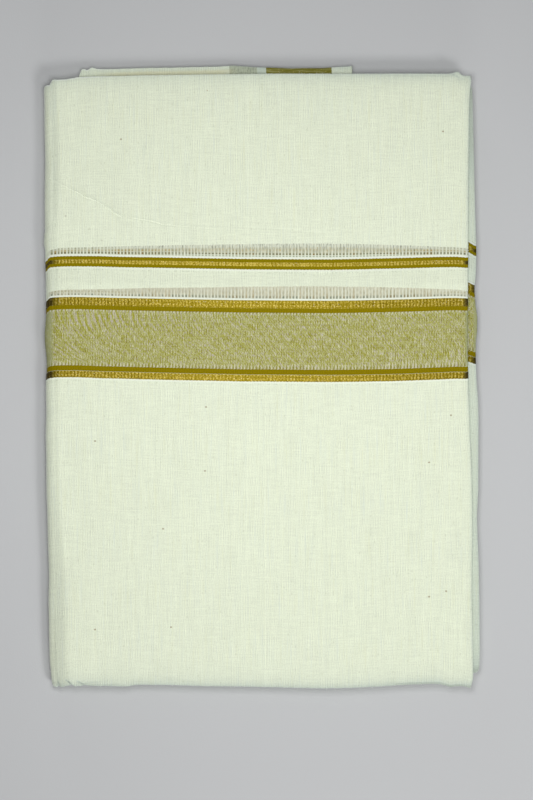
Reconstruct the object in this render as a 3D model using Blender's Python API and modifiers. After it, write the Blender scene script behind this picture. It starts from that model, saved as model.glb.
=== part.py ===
"""A dhoti, folded flat as it is sold: one unsewn length of cream cotton with woven borders.

The width is folded in three, so every panel is three plies, and the length is folded in twelve.
Frame: +X across the pack, +Y along its height, +Z up. The pack rests on z = 0 and the origin is
at the middle of its underside. Sizes in the tables are millimetres.
"""
import math

import bmesh
import bpy

MM = 0.001

# Driving dimensions
PANEL_T = 1.05        # one panel: three plies of 0.35 mm
GAP = 0.30            # air between stretches that lie on each other
STACK_H = 14.0        # twelve panels and the air between them, before the swells
FOLD_REACH = 6.0      # how far the left fold rounds away from the flat of the front
LAYER_STEP = PANEL_T + GAP
BACK_RIGHT = 142.0    # right edge of the back panel

CORE_LOW = LAYER_STEP                       # the hidden layers start above the back panel
CORE_HIGH = STACK_H - 4 * LAYER_STEP        # and end under the second fold
FLAP_T = 1.0
FLAP_TUCK = 30.0                            # how far the end flap runs in under the second fold

# Outline of the front panel, bottom row to top row
FRONT_SIDES = [
    # (y, left, right)
    (-214.5, -142.6, 144.2),
    (-213.0, -144.6, 145.0),
    (-208.5, -146.2, 146.2),
    (-203.0, -147.2, 146.8),
    (-196.0, -147.8, 146.7),
    (-175.0, -148.2, 146.3),
    (-154.0, -148.2, 145.9),
    (-134.0, -147.9, 145.2),
    (-113.0, -148.3, 144.9),
    (-85.0, -149.2, 144.4),
    (-58.0, -149.5, 144.0),
    (-28.0, -149.7, 143.5),
    (-9.0, -149.8, 143.2),
    (12.0, -149.3, 143.2),
    (26.0, -150.6, 143.2),
    (41.0, -149.5, 143.3),
    (60.0, -149.7, 143.4),
    (78.0, -150.0, 143.5),
    (92.0, -151.1, 143.6),
    (102.0, -150.4, 143.7),
    (124.0, -150.6, 143.9),
    (150.0, -150.4, 144.0),
    (175.0, -150.8, 144.1),
    (192.0, -151.3, 144.3),
    (199.5, -151.0, 144.4),
    (202.5, -148.6, 144.5),
    (205.5, -147.3, 144.5),
    (209.0, -144.8, 143.9),
]
FRONT_ENDS = [
    # (x, bottom, top)
    (-152.0, -213.6, 206.0),
    (-145.0, -214.0, 206.0),
    (-134.0, -214.1, 206.6),
    (-127.0, -213.6, 207.9),
    (-120.0, -213.9, 208.3),
    (-93.0, -214.6, 208.9),
    (-84.0, -213.6, 209.4),
    (-40.0, -214.5, 209.9),
    (6.0, -215.2, 210.2),
    (41.0, -215.7, 210.5),
    (62.0, -215.2, 210.7),
    (94.0, -213.5, 210.7),
    (111.0, -212.4, 210.4),
    (124.0, -212.8, 210.6),
    (131.5, -214.9, 211.2),
    (136.0, -214.1, 211.4),
    (140.0, -214.2, 209.3),
    (147.0, -214.6, 208.9),
]

# Right-hand nose of the second fold, bottom to top
SECOND_NOSE = [
    # (y, right, droop)
    (-205.8, 147.8, 0.5),
    (-203.0, 150.2, 0.6),
    (-196.0, 151.3, 0.7),
    (-175.0, 151.2, 0.7),
    (-141.0, 150.7, 0.6),
    (-106.0, 149.3, 0.5),
    (-71.0, 149.9, 0.5),
    (-30.0, 150.2, 0.6),
    (-2.0, 148.5, 0.5),
    (15.0, 148.2, 0.4),
    (33.0, 149.7, 0.5),
    (50.0, 148.0, 0.4),
    (74.0, 148.6, 0.4),
    (95.0, 148.4, 0.4),
    (123.0, 147.6, 0.3),
    (157.0, 146.8, 0.3),
    (185.0, 145.9, 0.2),
    (199.0, 145.4, 0.2),
    (203.3, 144.6, 0.2),
]
SECOND_LEFT_CLEAR = 7.0     # from the front's left outline to the second fold's left edge

# The end flap, left to right: how far its edge sticks out past the pack
FLAP_EDGE = [
    # (x, edge)
    (-126.7, 209.6),
    (-124.9, 212.9),
    (-120.6, 212.9),
    (-117.9, 214.5),
    (-114.6, 213.4),
    (-100.0, 213.8),
    (-80.0, 214.4),
    (-45.0, 214.9),
    (-20.2, 215.7),
    (-12.9, 215.2),
    (-0.4, 214.5),
    (20.0, 213.9),
    (48.8, 214.1),
    (63.0, 215.4),
]

# The hidden layers, bottom to top: how far each one's fold reaches
HIDDEN_LAYERS = [
    # (name, right, bottom, top, wave, phase)
    ("eleventh", 140.2, -211.2, 206.4, 0.5, 0.3),
    ("tenth", 142.4, -212.6, 207.4, 0.6, 1.9),
    ("ninth", 141.2, -211.0, 206.2, 0.5, 3.4),
    ("eighth", 143.0, -211.8, 207.8, 0.4, 4.6),
    ("seventh", 141.6, -210.4, 206.8, 0.6, 0.9),
    ("sixth", 142.2, -212.2, 205.9, 0.5, 2.6),
    ("fifth", 140.8, -211.4, 207.0, 0.4, 5.2),
]
GROOVE = 0.9                # how far the pack draws in between two hidden layers

# Soft swells of the top of the pack
SWELLS = [
    # (name, x, y, reach_x, reach_y, rise)
    ("middle crown", 5.0, -15.0, 150.0, 190.0, 0.45),
    ("lower left roll", -124.0, -165.0, 20.0, 60.0, 0.45),
    ("upper left shoulder", -95.0, 112.0, 60.0, 45.0, 0.25),
    ("right rise", 118.0, -120.0, 30.0, 90.0, 0.20),
]
EDGE_PRESS = 0.9            # the top and bottom edges are pressed flatter than the middle


def column(table, at, value, index=0):
    """Read one column of a table at a place between its rows."""
    rows = sorted(table, key=lambda r: r[index])
    if at <= rows[0][index]:
        return rows[0][value]
    for a, b in zip(rows, rows[1:]):
        if at <= b[index]:
            f = (at - a[index]) / (b[index] - a[index])
            return a[value] + f * (b[value] - a[value])
    return rows[-1][value]


def lift(x, y):
    """Height of the pack's top above or below its nominal thickness."""
    z = -EDGE_PRESS * min(1.0, abs(y) / 214.0) ** 10
    for _name, cx, cy, rx, ry, rise in SWELLS:
        d = ((x - cx) / rx) ** 2 + ((y - cy) / ry) ** 2
        if d < 1.0:
            z += rise * (1.0 - d) ** 2
    return z


def end_y(x, share):
    """y of a point at a share (0 bottom, 1 top) of the front panel's height."""
    low, high = column(FRONT_ENDS, x, 1), column(FRONT_ENDS, x, 2)
    return low + share * (high - low)


def spread(a, b, n):
    return [a + (b - a) * i / (n - 1) for i in range(n)]


def material(name, colour, roughness=0.85):
    mat = bpy.data.materials.new(name)
    mat.use_nodes = True
    bsdf = mat.node_tree.nodes["Principled BSDF"]
    bsdf.inputs["Base Color"].default_value = (*colour, 1.0)
    bsdf.inputs["Roughness"].default_value = roughness
    bsdf.inputs["Metallic"].default_value = 0.0
    return mat


def place(name, bm, coll, mat, smooth=True):
    mesh = bpy.data.meshes.new(name)
    bm.to_mesh(mesh)
    bm.free()
    obj = bpy.data.objects.new(name, mesh)
    coll.objects.link(obj)
    mesh.materials.append(mat)
    if smooth:
        mesh.shade_smooth()
        mesh.set_sharp_from_angle(angle=math.radians(40))
    return obj


def sheet(name, rows, coll, mat, thickness):
    """An open surface through rows of points, thickened evenly to a wall."""
    bm = bmesh.new()
    grid = [[bm.verts.new((x * MM, y * MM, z * MM)) for x, y, z in row] for row in rows]
    for lower, upper in zip(grid, grid[1:]):
        for i in range(len(lower) - 1):
            bm.faces.new((lower[i], lower[i + 1], upper[i + 1], upper[i]))
    bmesh.ops.recalc_face_normals(bm, faces=bm.faces)
    obj = place(name, bm, coll, mat)
    wall = obj.modifiers.new("wall", "SOLIDIFY")
    wall.thickness = thickness * MM
    wall.offset = 0.0
    wall.use_even_offset = True
    return obj


def hairpin(x_nose, z_top, y):
    """Half-circle nose of a fold, from its lower leg up to its upper leg (middle of the wall)."""
    r = LAYER_STEP / 2
    out = []
    for i in range(7):
        a = math.radians(-90 + 30 * i)
        out.append((x_nose - PANEL_T / 2 - r + r * math.cos(a), y, z_top - r + r * math.sin(a)))
    return out


def front_row(share, y_nominal):
    """One section of the outer stretch: return leg, right fold, front, left fold, back."""
    left, right = column(FRONT_SIDES, y_nominal, 1), column(FRONT_SIDES, y_nominal, 2)
    z_top = STACK_H - PANEL_T / 2
    bend_x = left + FOLD_REACH
    leg_x = right - LAYER_STEP / 2 - PANEL_T / 2
    row = []
    for x in spread(bend_x + 2.0, leg_x - 1.5, 8):
        y = end_y(x, share)
        row.append((x, y, z_top - LAYER_STEP + lift(x, y)))
    y = end_y(right, share)
    row += [(x, yy, z + lift(x, yy)) for x, yy, z in hairpin(right, z_top, y)]
    for x in spread(leg_x - 1.5, bend_x + 1.0, 13):
        y = end_y(x, share)
        row.append((x, y, z_top + lift(x, y)))
    y = end_y(bend_x, share)
    height = STACK_H + lift(bend_x, y)
    for i in range(11):
        a = math.radians(90 + 18 * i)
        row.append((bend_x + (FOLD_REACH - PANEL_T / 2) * math.cos(a), y,
                    height / 2 + (height - PANEL_T) / 2 * math.sin(a)))
    for x in spread(bend_x + 2.0, BACK_RIGHT, 9):
        row.append((x, end_y(x, share), PANEL_T / 2))
    return row


def second_row(y):
    """One section of the second fold: upper leg, nose, lower leg."""
    right, droop = column(SECOND_NOSE, y, 1), column(SECOND_NOSE, y, 2)
    left = column(FRONT_SIDES, y, 1) + SECOND_LEFT_CLEAR
    z_top = STACK_H - 2 * LAYER_STEP - PANEL_T / 2
    flat_x = 138.0

    def z_at(x, z):
        sag = droop * max(0.0, (x - flat_x) / (right - flat_x)) ** 2
        return z + lift(min(x, flat_x), y) - sag

    leg_x = right - LAYER_STEP / 2 - PANEL_T / 2
    legs = spread(left, flat_x, 8) + [flat_x + 0.5 * (leg_x - flat_x)]
    row = [(x, y, z_at(x, z_top - LAYER_STEP)) for x in legs]
    row += [(x, yy, z_at(x, z)) for x, yy, z in hairpin(right, z_top, y)]
    row += [(x, y, z_at(x, z_top)) for x in reversed(legs)]
    return row


def flap_row(share):
    """One row of the end flap, from its hidden end (0) to the edge that shows (1)."""
    row = []
    inner = column(FRONT_ENDS, 0.0, 2) - FLAP_TUCK
    for x, edge in FLAP_EDGE:
        y = inner + share * (edge - inner)
        past = max(0.0, y - 207.0)
        z = CORE_HIGH - FLAP_T / 2 + lift(x, min(y, 207.0)) - 0.012 * past ** 2
        row.append((x, y, z))
    return row


def core_left(y, z):
    """Inside of the left fold at one height, with the gap kept."""
    bend_x = max(column(FRONT_SIDES, y + d, 1) for d in (-6.0, -3.0, 0.0, 3.0, 6.0)) + FOLD_REACH
    height = STACK_H + lift(bend_x, y)
    half = height / 2 - PANEL_T
    share = min(1.0, abs(z - height / 2) / half)
    return bend_x - (FOLD_REACH - PANEL_T) * math.sqrt(1.0 - share * share) + GAP + 0.25


def core_ring(layer, rise, inset, shrink=1.0):
    """A ring of the hidden layers: a rounded rectangle with the layer's own reach on each side."""
    _name, right, bottom, top, wave, phase = layer
    right, bottom, top = right - inset, bottom + inset, top - inset
    corner = 3.0
    pts = []

    def add(x, y):
        z = CORE_LOW + rise * (CORE_HIGH - CORE_LOW + lift(x, y))
        pts.append([x, y, z])

    def left_at(y):
        z = CORE_LOW + rise * (CORE_HIGH - CORE_LOW)
        return core_left(y, z) + inset * 0.6

    for x in spread(right - corner, left_at(bottom) + corner, 13):
        add(x, bottom + wave * math.sin(x / 23.0 + phase))
    add(left_at(bottom) + 0.9, bottom + 0.9)
    for y in spread(bottom + corner, top - corner, 13):
        add(left_at(y), y)
    add(left_at(top) + 0.9, top - 0.9)
    for x in spread(left_at(top) + corner, right - corner, 13):
        add(x, top + wave * math.sin(x / 19.0 + 2.0 * phase))
    add(right - 0.9, top - 0.9)
    for y in spread(top - corner, bottom + corner, 13):
        add(right + wave * math.sin(y / 27.0 + 3.0 * phase), y)
    add(right - 0.9, bottom + 0.9)
    if shrink < 1.0:
        out = []
        for x, y, _z in pts:
            x, y = x * shrink, y * shrink
            out.append([x, y, CORE_LOW + rise * (CORE_HIGH - CORE_LOW + lift(x, y))])
        pts = out
    return pts


def build_core(coll, mat):
    rings = []
    count = len(HIDDEN_LAYERS)
    for i, layer in enumerate(HIDDEN_LAYERS):
        rings.append(core_ring(layer, i / count, GROOVE))
        rings.append(core_ring(layer, (i + 0.3) / count, 0.0))
        rings.append(core_ring(layer, (i + 0.7) / count, 0.0))
    last = HIDDEN_LAYERS[-1]
    rings.append(core_ring(last, 1.0, GROOVE))
    for shrink in (0.8, 0.55, 0.28):
        rings.append(core_ring(last, 1.0, GROOVE, shrink))
    bm = bmesh.new()
    loops = [[bm.verts.new((x * MM, y * MM, z * MM)) for x, y, z in ring] for ring in rings]
    for low, high in zip(loops, loops[1:]):
        n = len(low)
        for i in range(n):
            j = (i + 1) % n
            bm.faces.new((low[i], low[j], high[j], high[i]))
    bm.faces.new(loops[0])
    middle = bm.verts.new((0.0, 0.0, (CORE_HIGH + lift(0.0, 0.0)) * MM))
    top = loops[-1]
    for i in range(len(top)):
        bm.faces.new((top[i], top[(i + 1) % len(top)], middle))
    bmesh.ops.recalc_face_normals(bm, faces=bm.faces)
    return place("inner_folds", bm, coll, mat)


def flap_pocket(coll):
    """The room that the end flap takes out of the hidden layers, 0.3 mm larger all round."""
    rows = []
    inner = column(FRONT_ENDS, 0.0, 2) - FLAP_TUCK - GAP
    x_low, x_high = FLAP_EDGE[0][0] - GAP, FLAP_EDGE[-1][0] + GAP
    for y in (inner, inner + 6.0, inner + 14.0, inner + 22.0, 206.0, 212.0):
        rows.append([(x, y, CORE_HIGH - FLAP_T - GAP + 2.0 + lift(x, min(y, 207.0)))
                     for x in spread(x_low, x_high, 11)])
    cutter = sheet("flap_pocket", rows, coll, material("cutter", (0.5, 0.5, 0.5)), 4.0)
    cutter.display_type = "WIRE"
    cutter.hide_render = True
    return cutter


def main():
    for obj in list(bpy.data.objects):
        bpy.data.objects.remove(obj, do_unlink=True)
    scene = bpy.context.scene
    parts = bpy.data.collections.new("folded_dhoti")
    cutters = bpy.data.collections.new("cutters")
    scene.collection.children.link(parts)
    scene.collection.children.link(cutters)

    cream = material("cream_cotton", (0.76, 0.80, 0.66))
    cream_inner = material("cream_cotton_inner", (0.70, 0.74, 0.60))
    shade = material("cream_cotton_hidden", (0.62, 0.66, 0.54))
    band = material("end_band", (0.36, 0.29, 0.04), 0.7)

    # outer stretch
    bottom, top = FRONT_SIDES[0][0], FRONT_SIDES[-1][0]
    rows = [front_row((y - bottom) / (top - bottom), y) for y, _l, _r in FRONT_SIDES]
    sheet("front_wrap", rows, parts, cream, PANEL_T)

    # second fold
    ys = [y for y, _r, _d in SECOND_NOSE]
    sheet("second_fold", [second_row(y) for y in ys], parts, cream_inner, PANEL_T)

    # end flap
    sheet("end_flap", [flap_row(s) for s in (0.0, 0.3, 0.6, 0.8, 0.92, 1.0)], parts, band, FLAP_T)

    # hidden layers, with room for the end flap
    core = build_core(parts, shade)
    pocket = core.modifiers.new("flap_pocket", "BOOLEAN")
    pocket.operation = "DIFFERENCE"
    pocket.solver = "EXACT"
    pocket.object = flap_pocket(cutters)


main()
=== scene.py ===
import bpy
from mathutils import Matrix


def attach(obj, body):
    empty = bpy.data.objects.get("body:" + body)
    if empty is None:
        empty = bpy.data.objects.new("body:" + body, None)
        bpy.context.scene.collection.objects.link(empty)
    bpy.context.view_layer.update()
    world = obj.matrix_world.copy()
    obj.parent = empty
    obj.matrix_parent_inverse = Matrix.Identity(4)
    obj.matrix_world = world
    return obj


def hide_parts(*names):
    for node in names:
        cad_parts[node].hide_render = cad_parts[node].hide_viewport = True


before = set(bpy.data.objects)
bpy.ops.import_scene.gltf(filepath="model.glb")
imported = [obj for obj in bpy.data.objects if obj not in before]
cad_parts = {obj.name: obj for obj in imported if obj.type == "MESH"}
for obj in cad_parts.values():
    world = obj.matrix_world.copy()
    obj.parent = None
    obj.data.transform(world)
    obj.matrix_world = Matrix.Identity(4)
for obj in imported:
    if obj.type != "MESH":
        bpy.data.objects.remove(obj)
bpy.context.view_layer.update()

import math

import bmesh
import bpy
import numpy as np

MM = 0.001

# ---------------------------------------------------------------- sizes, as in the CAD (mm)
PANEL_T = 1.05
GAP = 0.30
STACK_H = 14.0
FOLD_REACH = 6.0
STEP = PANEL_T + GAP
BACK_RIGHT = 142.0
CORE_LOW = STEP
CORE_HIGH = STACK_H - 4 * STEP
FLAP_T = 1.0
EDGE_PRESS = 0.9

# outline of the front panel, bottom to top
FRONT_SIDES = np.array([
    # (y, left, right)
    (-216.6, -145.0, 144.1),
    (-215.4, -146.7, 144.9),
    (-214.2, -147.6, 145.5),
    (-212.6, -148.1, 146.0),
    (-210.6, -148.3, 146.6),
    (-208.2, -148.5, 147.0),
    (-205.6, -148.7, 147.1),
    (-203.0, -148.8, 147.1),
    (-196.0, -149.3, 147.0),
    (-175.0, -149.6, 146.6),
    (-154.0, -149.4, 146.1),
    (-141.0, -148.8, 146.2),
    (-127.0, -149.1, 146.3),
    (-113.0, -149.5, 146.5),
    (-99.0, -149.8, 146.4),
    (-85.0, -150.4, 146.3),
    (-70.0, -150.5, 146.1),
    (-58.0, -150.6, 145.6),
    (-42.0, -151.0, 144.8),
    (-28.0, -150.5, 144.4),
    (-9.0, -150.9, 143.7),
    (5.0, -149.9, 143.4),
    (12.0, -150.2, 143.2),
    (26.0, -151.7, 143.2),
    (33.0, -151.2, 143.2),
    (41.0, -150.5, 143.3),
    (60.0, -150.7, 143.4),
    (78.0, -151.0, 143.5),
    (88.0, -151.2, 143.6),
    (94.0, -152.4, 143.6),
    (101.0, -151.4, 143.7),
    (124.0, -151.7, 143.6),
    (150.0, -151.3, 143.9),
    (175.0, -151.8, 144.1),
    (192.0, -151.9, 144.5),
    (197.5, -152.2, 144.8),
    (201.8, -152.3, 145.2),
    (204.4, -152.4, 145.7),
    (206.4, -152.2, 145.9),
    (209.0, -151.8, 145.6),
])
FRONT_ENDS = np.array([
    # (x, bottom, top)
    (-152.4, -213.6, 198.6),
    (-151.8, -213.6, 201.2),
    (-151.0, -213.6, 202.6),
    (-149.8, -213.8, 203.2),
    (-148.6, -214.4, 203.0),
    (-147.6, -216.0, 202.9),
    (-147.0, -216.9, 203.4),
    (-146.2, -217.4, 205.2),
    (-145.4, -217.4, 206.7),
    (-144.6, -217.1, 206.7),
    (-143.2, -216.5, 206.7),
    (-142.0, -215.6, 206.6),
    (-141.2, -215.0, 206.6),
    (-140.3, -215.4, 206.6),
    (-138.9, -215.8, 206.7),
    (-137.0, -215.1, 206.8),
    (-134.5, -214.6, 207.0),
    (-132.6, -213.8, 207.5),
    (-131.0, -214.2, 207.8),
    (-129.9, -214.8, 207.9),
    (-128.1, -214.6, 208.3),
    (-125.9, -214.8, 208.4),
    (-124.3, -214.1, 208.5),
    (-122.2, -213.9, 208.6),
    (-120.1, -214.3, 208.7),
    (-117.9, -214.6, 208.8),
    (-105.0, -214.6, 209.1),
    (-93.5, -215.0, 209.3),
    (-86.5, -213.7, 209.6),
    (-64.0, -213.9, 209.9),
    (-37.0, -214.8, 210.3),
    (-15.0, -214.9, 210.5),
    (6.0, -215.4, 210.8),
    (27.0, -215.9, 210.8),
    (41.0, -216.3, 210.8),
    (62.0, -215.9, 210.8),
    (82.0, -215.0, 210.8),
    (94.0, -214.1, 210.9),
    (111.0, -213.4, 210.9),
    (118.0, -213.1, 210.8),
    (124.0, -213.4, 210.8),
    (128.0, -214.4, 210.7),
    (131.5, -215.5, 211.0),
    (133.4, -215.1, 211.4),
    (134.8, -214.8, 212.1),
    (136.2, -214.7, 212.4),
    (137.4, -214.7, 211.6),
    (138.7, -214.7, 210.1),
    (140.2, -214.9, 209.5),
    (143.0, -215.6, 209.4),
    (144.5, -216.0, 209.4),
    (147.0, -215.6, 209.2),
])
# how far the lines of the weave sit above a straight line across the panel, at the thin stripe
# (high) and at the foot of the wide band (low)
BOW = np.array([
    # (along, high, low); along is 0 at the frame's middle and grows to the left, round the fold
    (-420.0, 0.8, 1.4),
    (-160.0, 0.9, 1.8),
    (-145.0, 0.9, 2.0),
    (-142.0, 1.28, 2.04),
    (-139.1, 1.49, 1.97),
    (-134.2, 1.77, 2.04),
    (-123.8, 1.70, 1.56),
    (-109.9, 1.28, 1.00),
    (-89.1, 0.79, 0.31),
    (-68.3, 0.24, -0.04),
    (-47.5, -0.11, -0.25),
    (-26.6, -0.04, -0.11),
    (-5.8, 0.10, 0.10),
    (15.0, 0.31, 0.17),
    (35.8, 0.66, 0.66),
    (56.6, 1.07, 1.07),
    (77.5, 1.42, 1.56),
    (98.3, 1.70, 2.11),
    (112.1, 2.18, 2.39),
    (126.0, 2.25, 3.01),
    (133.0, 2.25, 3.08),
    (139.9, 2.04, 3.01),
    (142.7, 1.90, 2.95),
    (144.8, 1.83, 2.81),
    (146.8, 1.56, 2.46),
    (148.2, 0.59, 2.11),
    (149.6, -0.80, 1.60),
    (153.0, -1.60, 0.40),
    (160.0, -2.00, -0.60),
    (300.0, -0.8, -0.2),
    (470.0, -1.6, -1.2),
])
SECOND_NOSE = np.array([
    # (y, right, droop)
    (-206.4, 148.3, 0.9),
    (-205.6, 150.1, 0.9),
    (-204.6, 151.1, 0.9),
    (-203.0, 151.8, 1.0),
    (-196.0, 152.3, 1.0),
    (-175.0, 152.1, 1.0),
    (-154.0, 151.7, 1.0),
    (-141.0, 151.6, 1.0),
    (-120.0, 150.6, 0.9),
    (-106.0, 150.1, 0.9),
    (-90.0, 151.1, 0.9),
    (-71.0, 151.1, 0.9),
    (-45.0, 151.3, 1.0),
    (-30.0, 151.2, 1.0),
    (-16.0, 150.1, 0.9),
    (-2.0, 149.3, 0.9),
    (15.0, 149.3, 0.9),
    (24.0, 150.6, 0.9),
    (33.0, 150.3, 0.9),
    (42.0, 148.7, 0.9),
    (50.0, 148.3, 0.8),
    (62.0, 149.5, 0.8),
    (74.0, 149.8, 0.8),
    (95.0, 149.2, 0.8),
    (123.0, 148.4, 0.7),
    (157.0, 147.8, 0.6),
    (185.0, 147.3, 0.5),
    (199.0, 147.0, 0.5),
    (203.3, 146.2, 0.4),
])
SECOND_BOW = np.array([
    # (along, high, low)
    (-420.0, 10.0, 12.0),
    (-154.3, 7.2, 11.3),
    (-145.8, 7.9, 11.6),
    (-142.9, 9.4, 12.2),
    (-138.0, 12.2, 13.8),
    (-135.0, 13.0, 14.2),
    (-120.0, 12.6, 13.8),
    (150.0, 11.0, 12.0),
])
FLAP_EDGE = np.array([
    # (x, edge)
    (-127.9, 208.4),
    (-127.2, 211.0),
    (-126.4, 213.4),
    (-125.6, 215.0),
    (-124.9, 215.2),
    (-124.0, 215.3),
    (-122.6, 214.7),
    (-121.2, 214.8),
    (-119.8, 215.9),
    (-118.5, 216.6),
    (-116.9, 216.0),
    (-115.0, 215.3),
    (-107.6, 215.2),
    (-100.5, 215.4),
    (-80.0, 216.1),
    (-60.0, 216.4),
    (-45.0, 216.8),
    (-30.0, 217.1),
    (-20.3, 217.9),
    (-12.0, 217.2),
    (-7.7, 216.9),
    (-3.5, 216.55),
    (2.0, 216.4),
    (7.6, 216.25),
    (10.3, 216.2),
    (14.5, 216.0),
    (18.7, 215.75),
    (23.0, 215.8),
    (31.0, 215.9),
    (39.0, 215.9),
    (43.6, 215.85),
    (46.4, 216.2),
    (49.2, 216.6),
    (53.3, 216.75),
    (57.5, 217.05),
    (63.3, 217.6),
])
# the hidden panels, bottom to top: how far each one's folds reach
PANELS = [
    # (name, right, bottom, top, wave, phase)
    ("p12", 142.0, -213.6, 208.4, 0.5, 1.1),
    ("p11", 142.0, -211.8, 206.6, 0.6, 0.3),
    ("p10", 143.0, -212.9, 207.6, 0.6, 1.9),
    ("p9", 143.0, -211.2, 206.0, 0.5, 3.4),
    ("p8", 141.4, -212.2, 207.9, 0.5, 4.6),
    ("p7", 141.4, -210.6, 206.6, 0.7, 0.9),
    ("p6", 139.2, -212.4, 205.6, 0.5, 2.6),
]
SWELLS = [
    # (name, x, y, reach_x, reach_y, rise)
    ("middle crown", 5.0, -15.0, 150.0, 190.0, 0.45),
    ("lower left roll", -124.0, -165.0, 20.0, 60.0, 0.45),
    ("upper left shoulder", -95.0, 112.0, 60.0, 45.0, 0.25),
    ("right rise", 118.0, -120.0, 30.0, 90.0, 0.20),
]
# creases pressed into the front panel, a ridge with a hollow below it: (name, height, width, hollow, apart, points)
CREASES = [
    ("long crease, left", 0.62, 0.52, 0.12, 0.75, [
        (-151.0, 139.6), (-145.7, 136.9), (-141.2, 134.8), (-136.8, 132.8), (-131.9, 130.3), (-127.9, 128.4),
        (-124.3, 126.4), (-121.2, 124.6), (-117.6, 123.7), (-114.5, 122.2), (-111.0, 120.3), (-107.4, 118.1),
        (-104.7, 116.1), (-102.1, 114.1), (-99.9, 112.8), (-96.7, 111.0)]),
    ("long crease, middle", 0.21, 0.50, 0.18, 0.72, [
        (-93.2, 111.3), (-88.8, 110.8), (-83.4, 109.6), (-79.0, 109.1), (-74.5, 108.0), (-70.5, 106.8),
        (-68.3, 106.1), (-65.6, 106.1), (-62.0, 105.8), (-57.6, 105.0), (-51.4, 104.5), (-45.1, 104.2),
        (-38.9, 103.7), (-32.7, 103.2), (-26.4, 103.2)]),
    ("long crease, right", -0.13, 0.74, 0.0, 1.0, [(-16, 104.4), (-7.5, 103.8), (15, 102.3), (47, 99.7)]),
]


def col(table, value, at, key=0):
    return np.interp(at, table[:, key], table[:, value])


def smooth(a, b, x):
    t = np.clip((x - a) / (b - a), 0.0, 1.0)
    return t * t * (3 - 2 * t)


def wobble(x, seed, scale, octaves=3):
    """Smooth unevenness along a line, the same on each run."""
    out = np.zeros_like(np.asarray(x, float))
    rng = np.random.RandomState(seed)
    amp, total = 1.0, 0.0
    for _ in range(octaves):
        f, p, g, q = rng.uniform(0.7, 1.3), rng.uniform(0, 6.28), rng.uniform(1.5, 1.9), rng.uniform(0, 6.28)
        out = out + amp * (np.sin(x / scale * f * 6.28 + p) + 0.6 * np.sin(x / scale * g * 6.28 + q)) / 1.6
        total += amp
        amp *= 0.5
        scale = scale * 0.47
    return out / total


def lift(x, y):
    z = -EDGE_PRESS * np.minimum(1.0, np.abs(y) / 214.0) ** 10
    for _n, cx, cy, rx, ry, rise in SWELLS:
        d = ((x - cx) / rx) ** 2 + ((y - cy) / ry) ** 2
        z = z + np.where(d < 1.0, rise * (1.0 - np.minimum(d, 1.0)) ** 2, 0.0)
    return z


def crease_height(x, y):
    z = np.zeros(np.broadcast(x, y).shape)
    for k, (_n, high, wide, low, apart, pts) in enumerate(CREASES):
        p = np.array(pts)
        yc = np.interp(x, p[:, 0], p[:, 1])
        slope = np.interp(x, (p[1:, 0] + p[:-1, 0]) / 2, np.diff(p[:, 1]) / np.diff(p[:, 0]))
        d = (y - yc) / np.sqrt(1 + slope ** 2)
        inside = smooth(p[0, 0] - 2, p[0, 0] + 6, x) * smooth(p[-1, 0] + 4, p[-1, 0] - 10, x)
        if k == 0:
            inside = smooth(p[-1, 0] + 1.5, p[-1, 0] - 2.5, x) * (
                0.50 + 0.50 * smooth(-140.0, -124.0, x) - 0.28 * smooth(-124.0, -118.0, x) + 0.78 * smooth(-110.5, -105.5, x))
        if k == 1:
            inside = inside * (0.45 + 0.55 * smooth(-58.0, -68.0, x))
        uneven = 0.75 + 0.35 * wobble(x, 11 + k, 60.0)
        z = z + inside * uneven * (high * np.exp(-(d / wide) ** 2) - low * np.exp(-((d + apart) / wide) ** 2))
    return z


def crease_shade(x, y):
    """The upper side of the long crease, pressed flat, holds a thin line of shadow."""
    z = np.zeros(np.broadcast(x, y).shape)
    for k, dark in ((0, 1.0), (1, 0.12)):
        p = np.array(CREASES[k][-1])
        yc = np.interp(x, p[:, 0], p[:, 1])
        slope = np.interp(x, (p[1:, 0] + p[:-1, 0]) / 2, np.diff(p[:, 1]) / np.diff(p[:, 0]))
        d = (y - yc) / np.sqrt(1 + slope ** 2)
        inside = smooth(p[-1, 0] + 1.5, p[-1, 0] - 2.5, x) * smooth(p[0, 0] - 1.5, p[0, 0] + 2.5, x)
        z = z + dark * inside * (0.055 + 0.075 * smooth(-111.0, -105.0, x)) * np.exp(-((d - 0.95) / 0.50) ** 2)
    return z


def crease_row(x):
    """The cloth's own height where the long crease crosses each x."""
    p = np.array([point for crease in CREASES for point in crease[-1]])
    bottom, top = ends(x)
    share = (np.interp(x, p[:, 0], p[:, 1]) - bottom) / (top - bottom)
    return V_LOW + (share - rise(share, bottom, top, -x, BOW) / (top - bottom)) * (V_HIGH - V_LOW)


LEAN = {}


def lean(x, share):
    """How far the rows lean so that those at 104 run along the long crease and keep it sharp."""
    if not LEAN:
        LEAN["x"] = np.linspace(-153.0, 147.0, 1201)
        LEAN["row"] = crease_row(LEAN["x"]) - 104.0
    v = V_LOW + share * (V_HIGH - V_LOW)
    return np.interp(x, LEAN["x"], LEAN["row"]) * smooth(4.0, 98.0, v) * smooth(196.0, 110.0, v) / (V_HIGH - V_LOW)


# ---------------------------------------------------------------- the cloth's section and rows
class Row:
    """One line along the cloth: a share of its height, an offset from it, and where in the wall."""

    def __init__(self, share, off, high, face="outer"):
        self.share, self.off, self.high, self.face = share, off, high, face


V_LOW, V_HIGH = -215.2, 210.3       # the cloth's own heights at the front panel's edges


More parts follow.
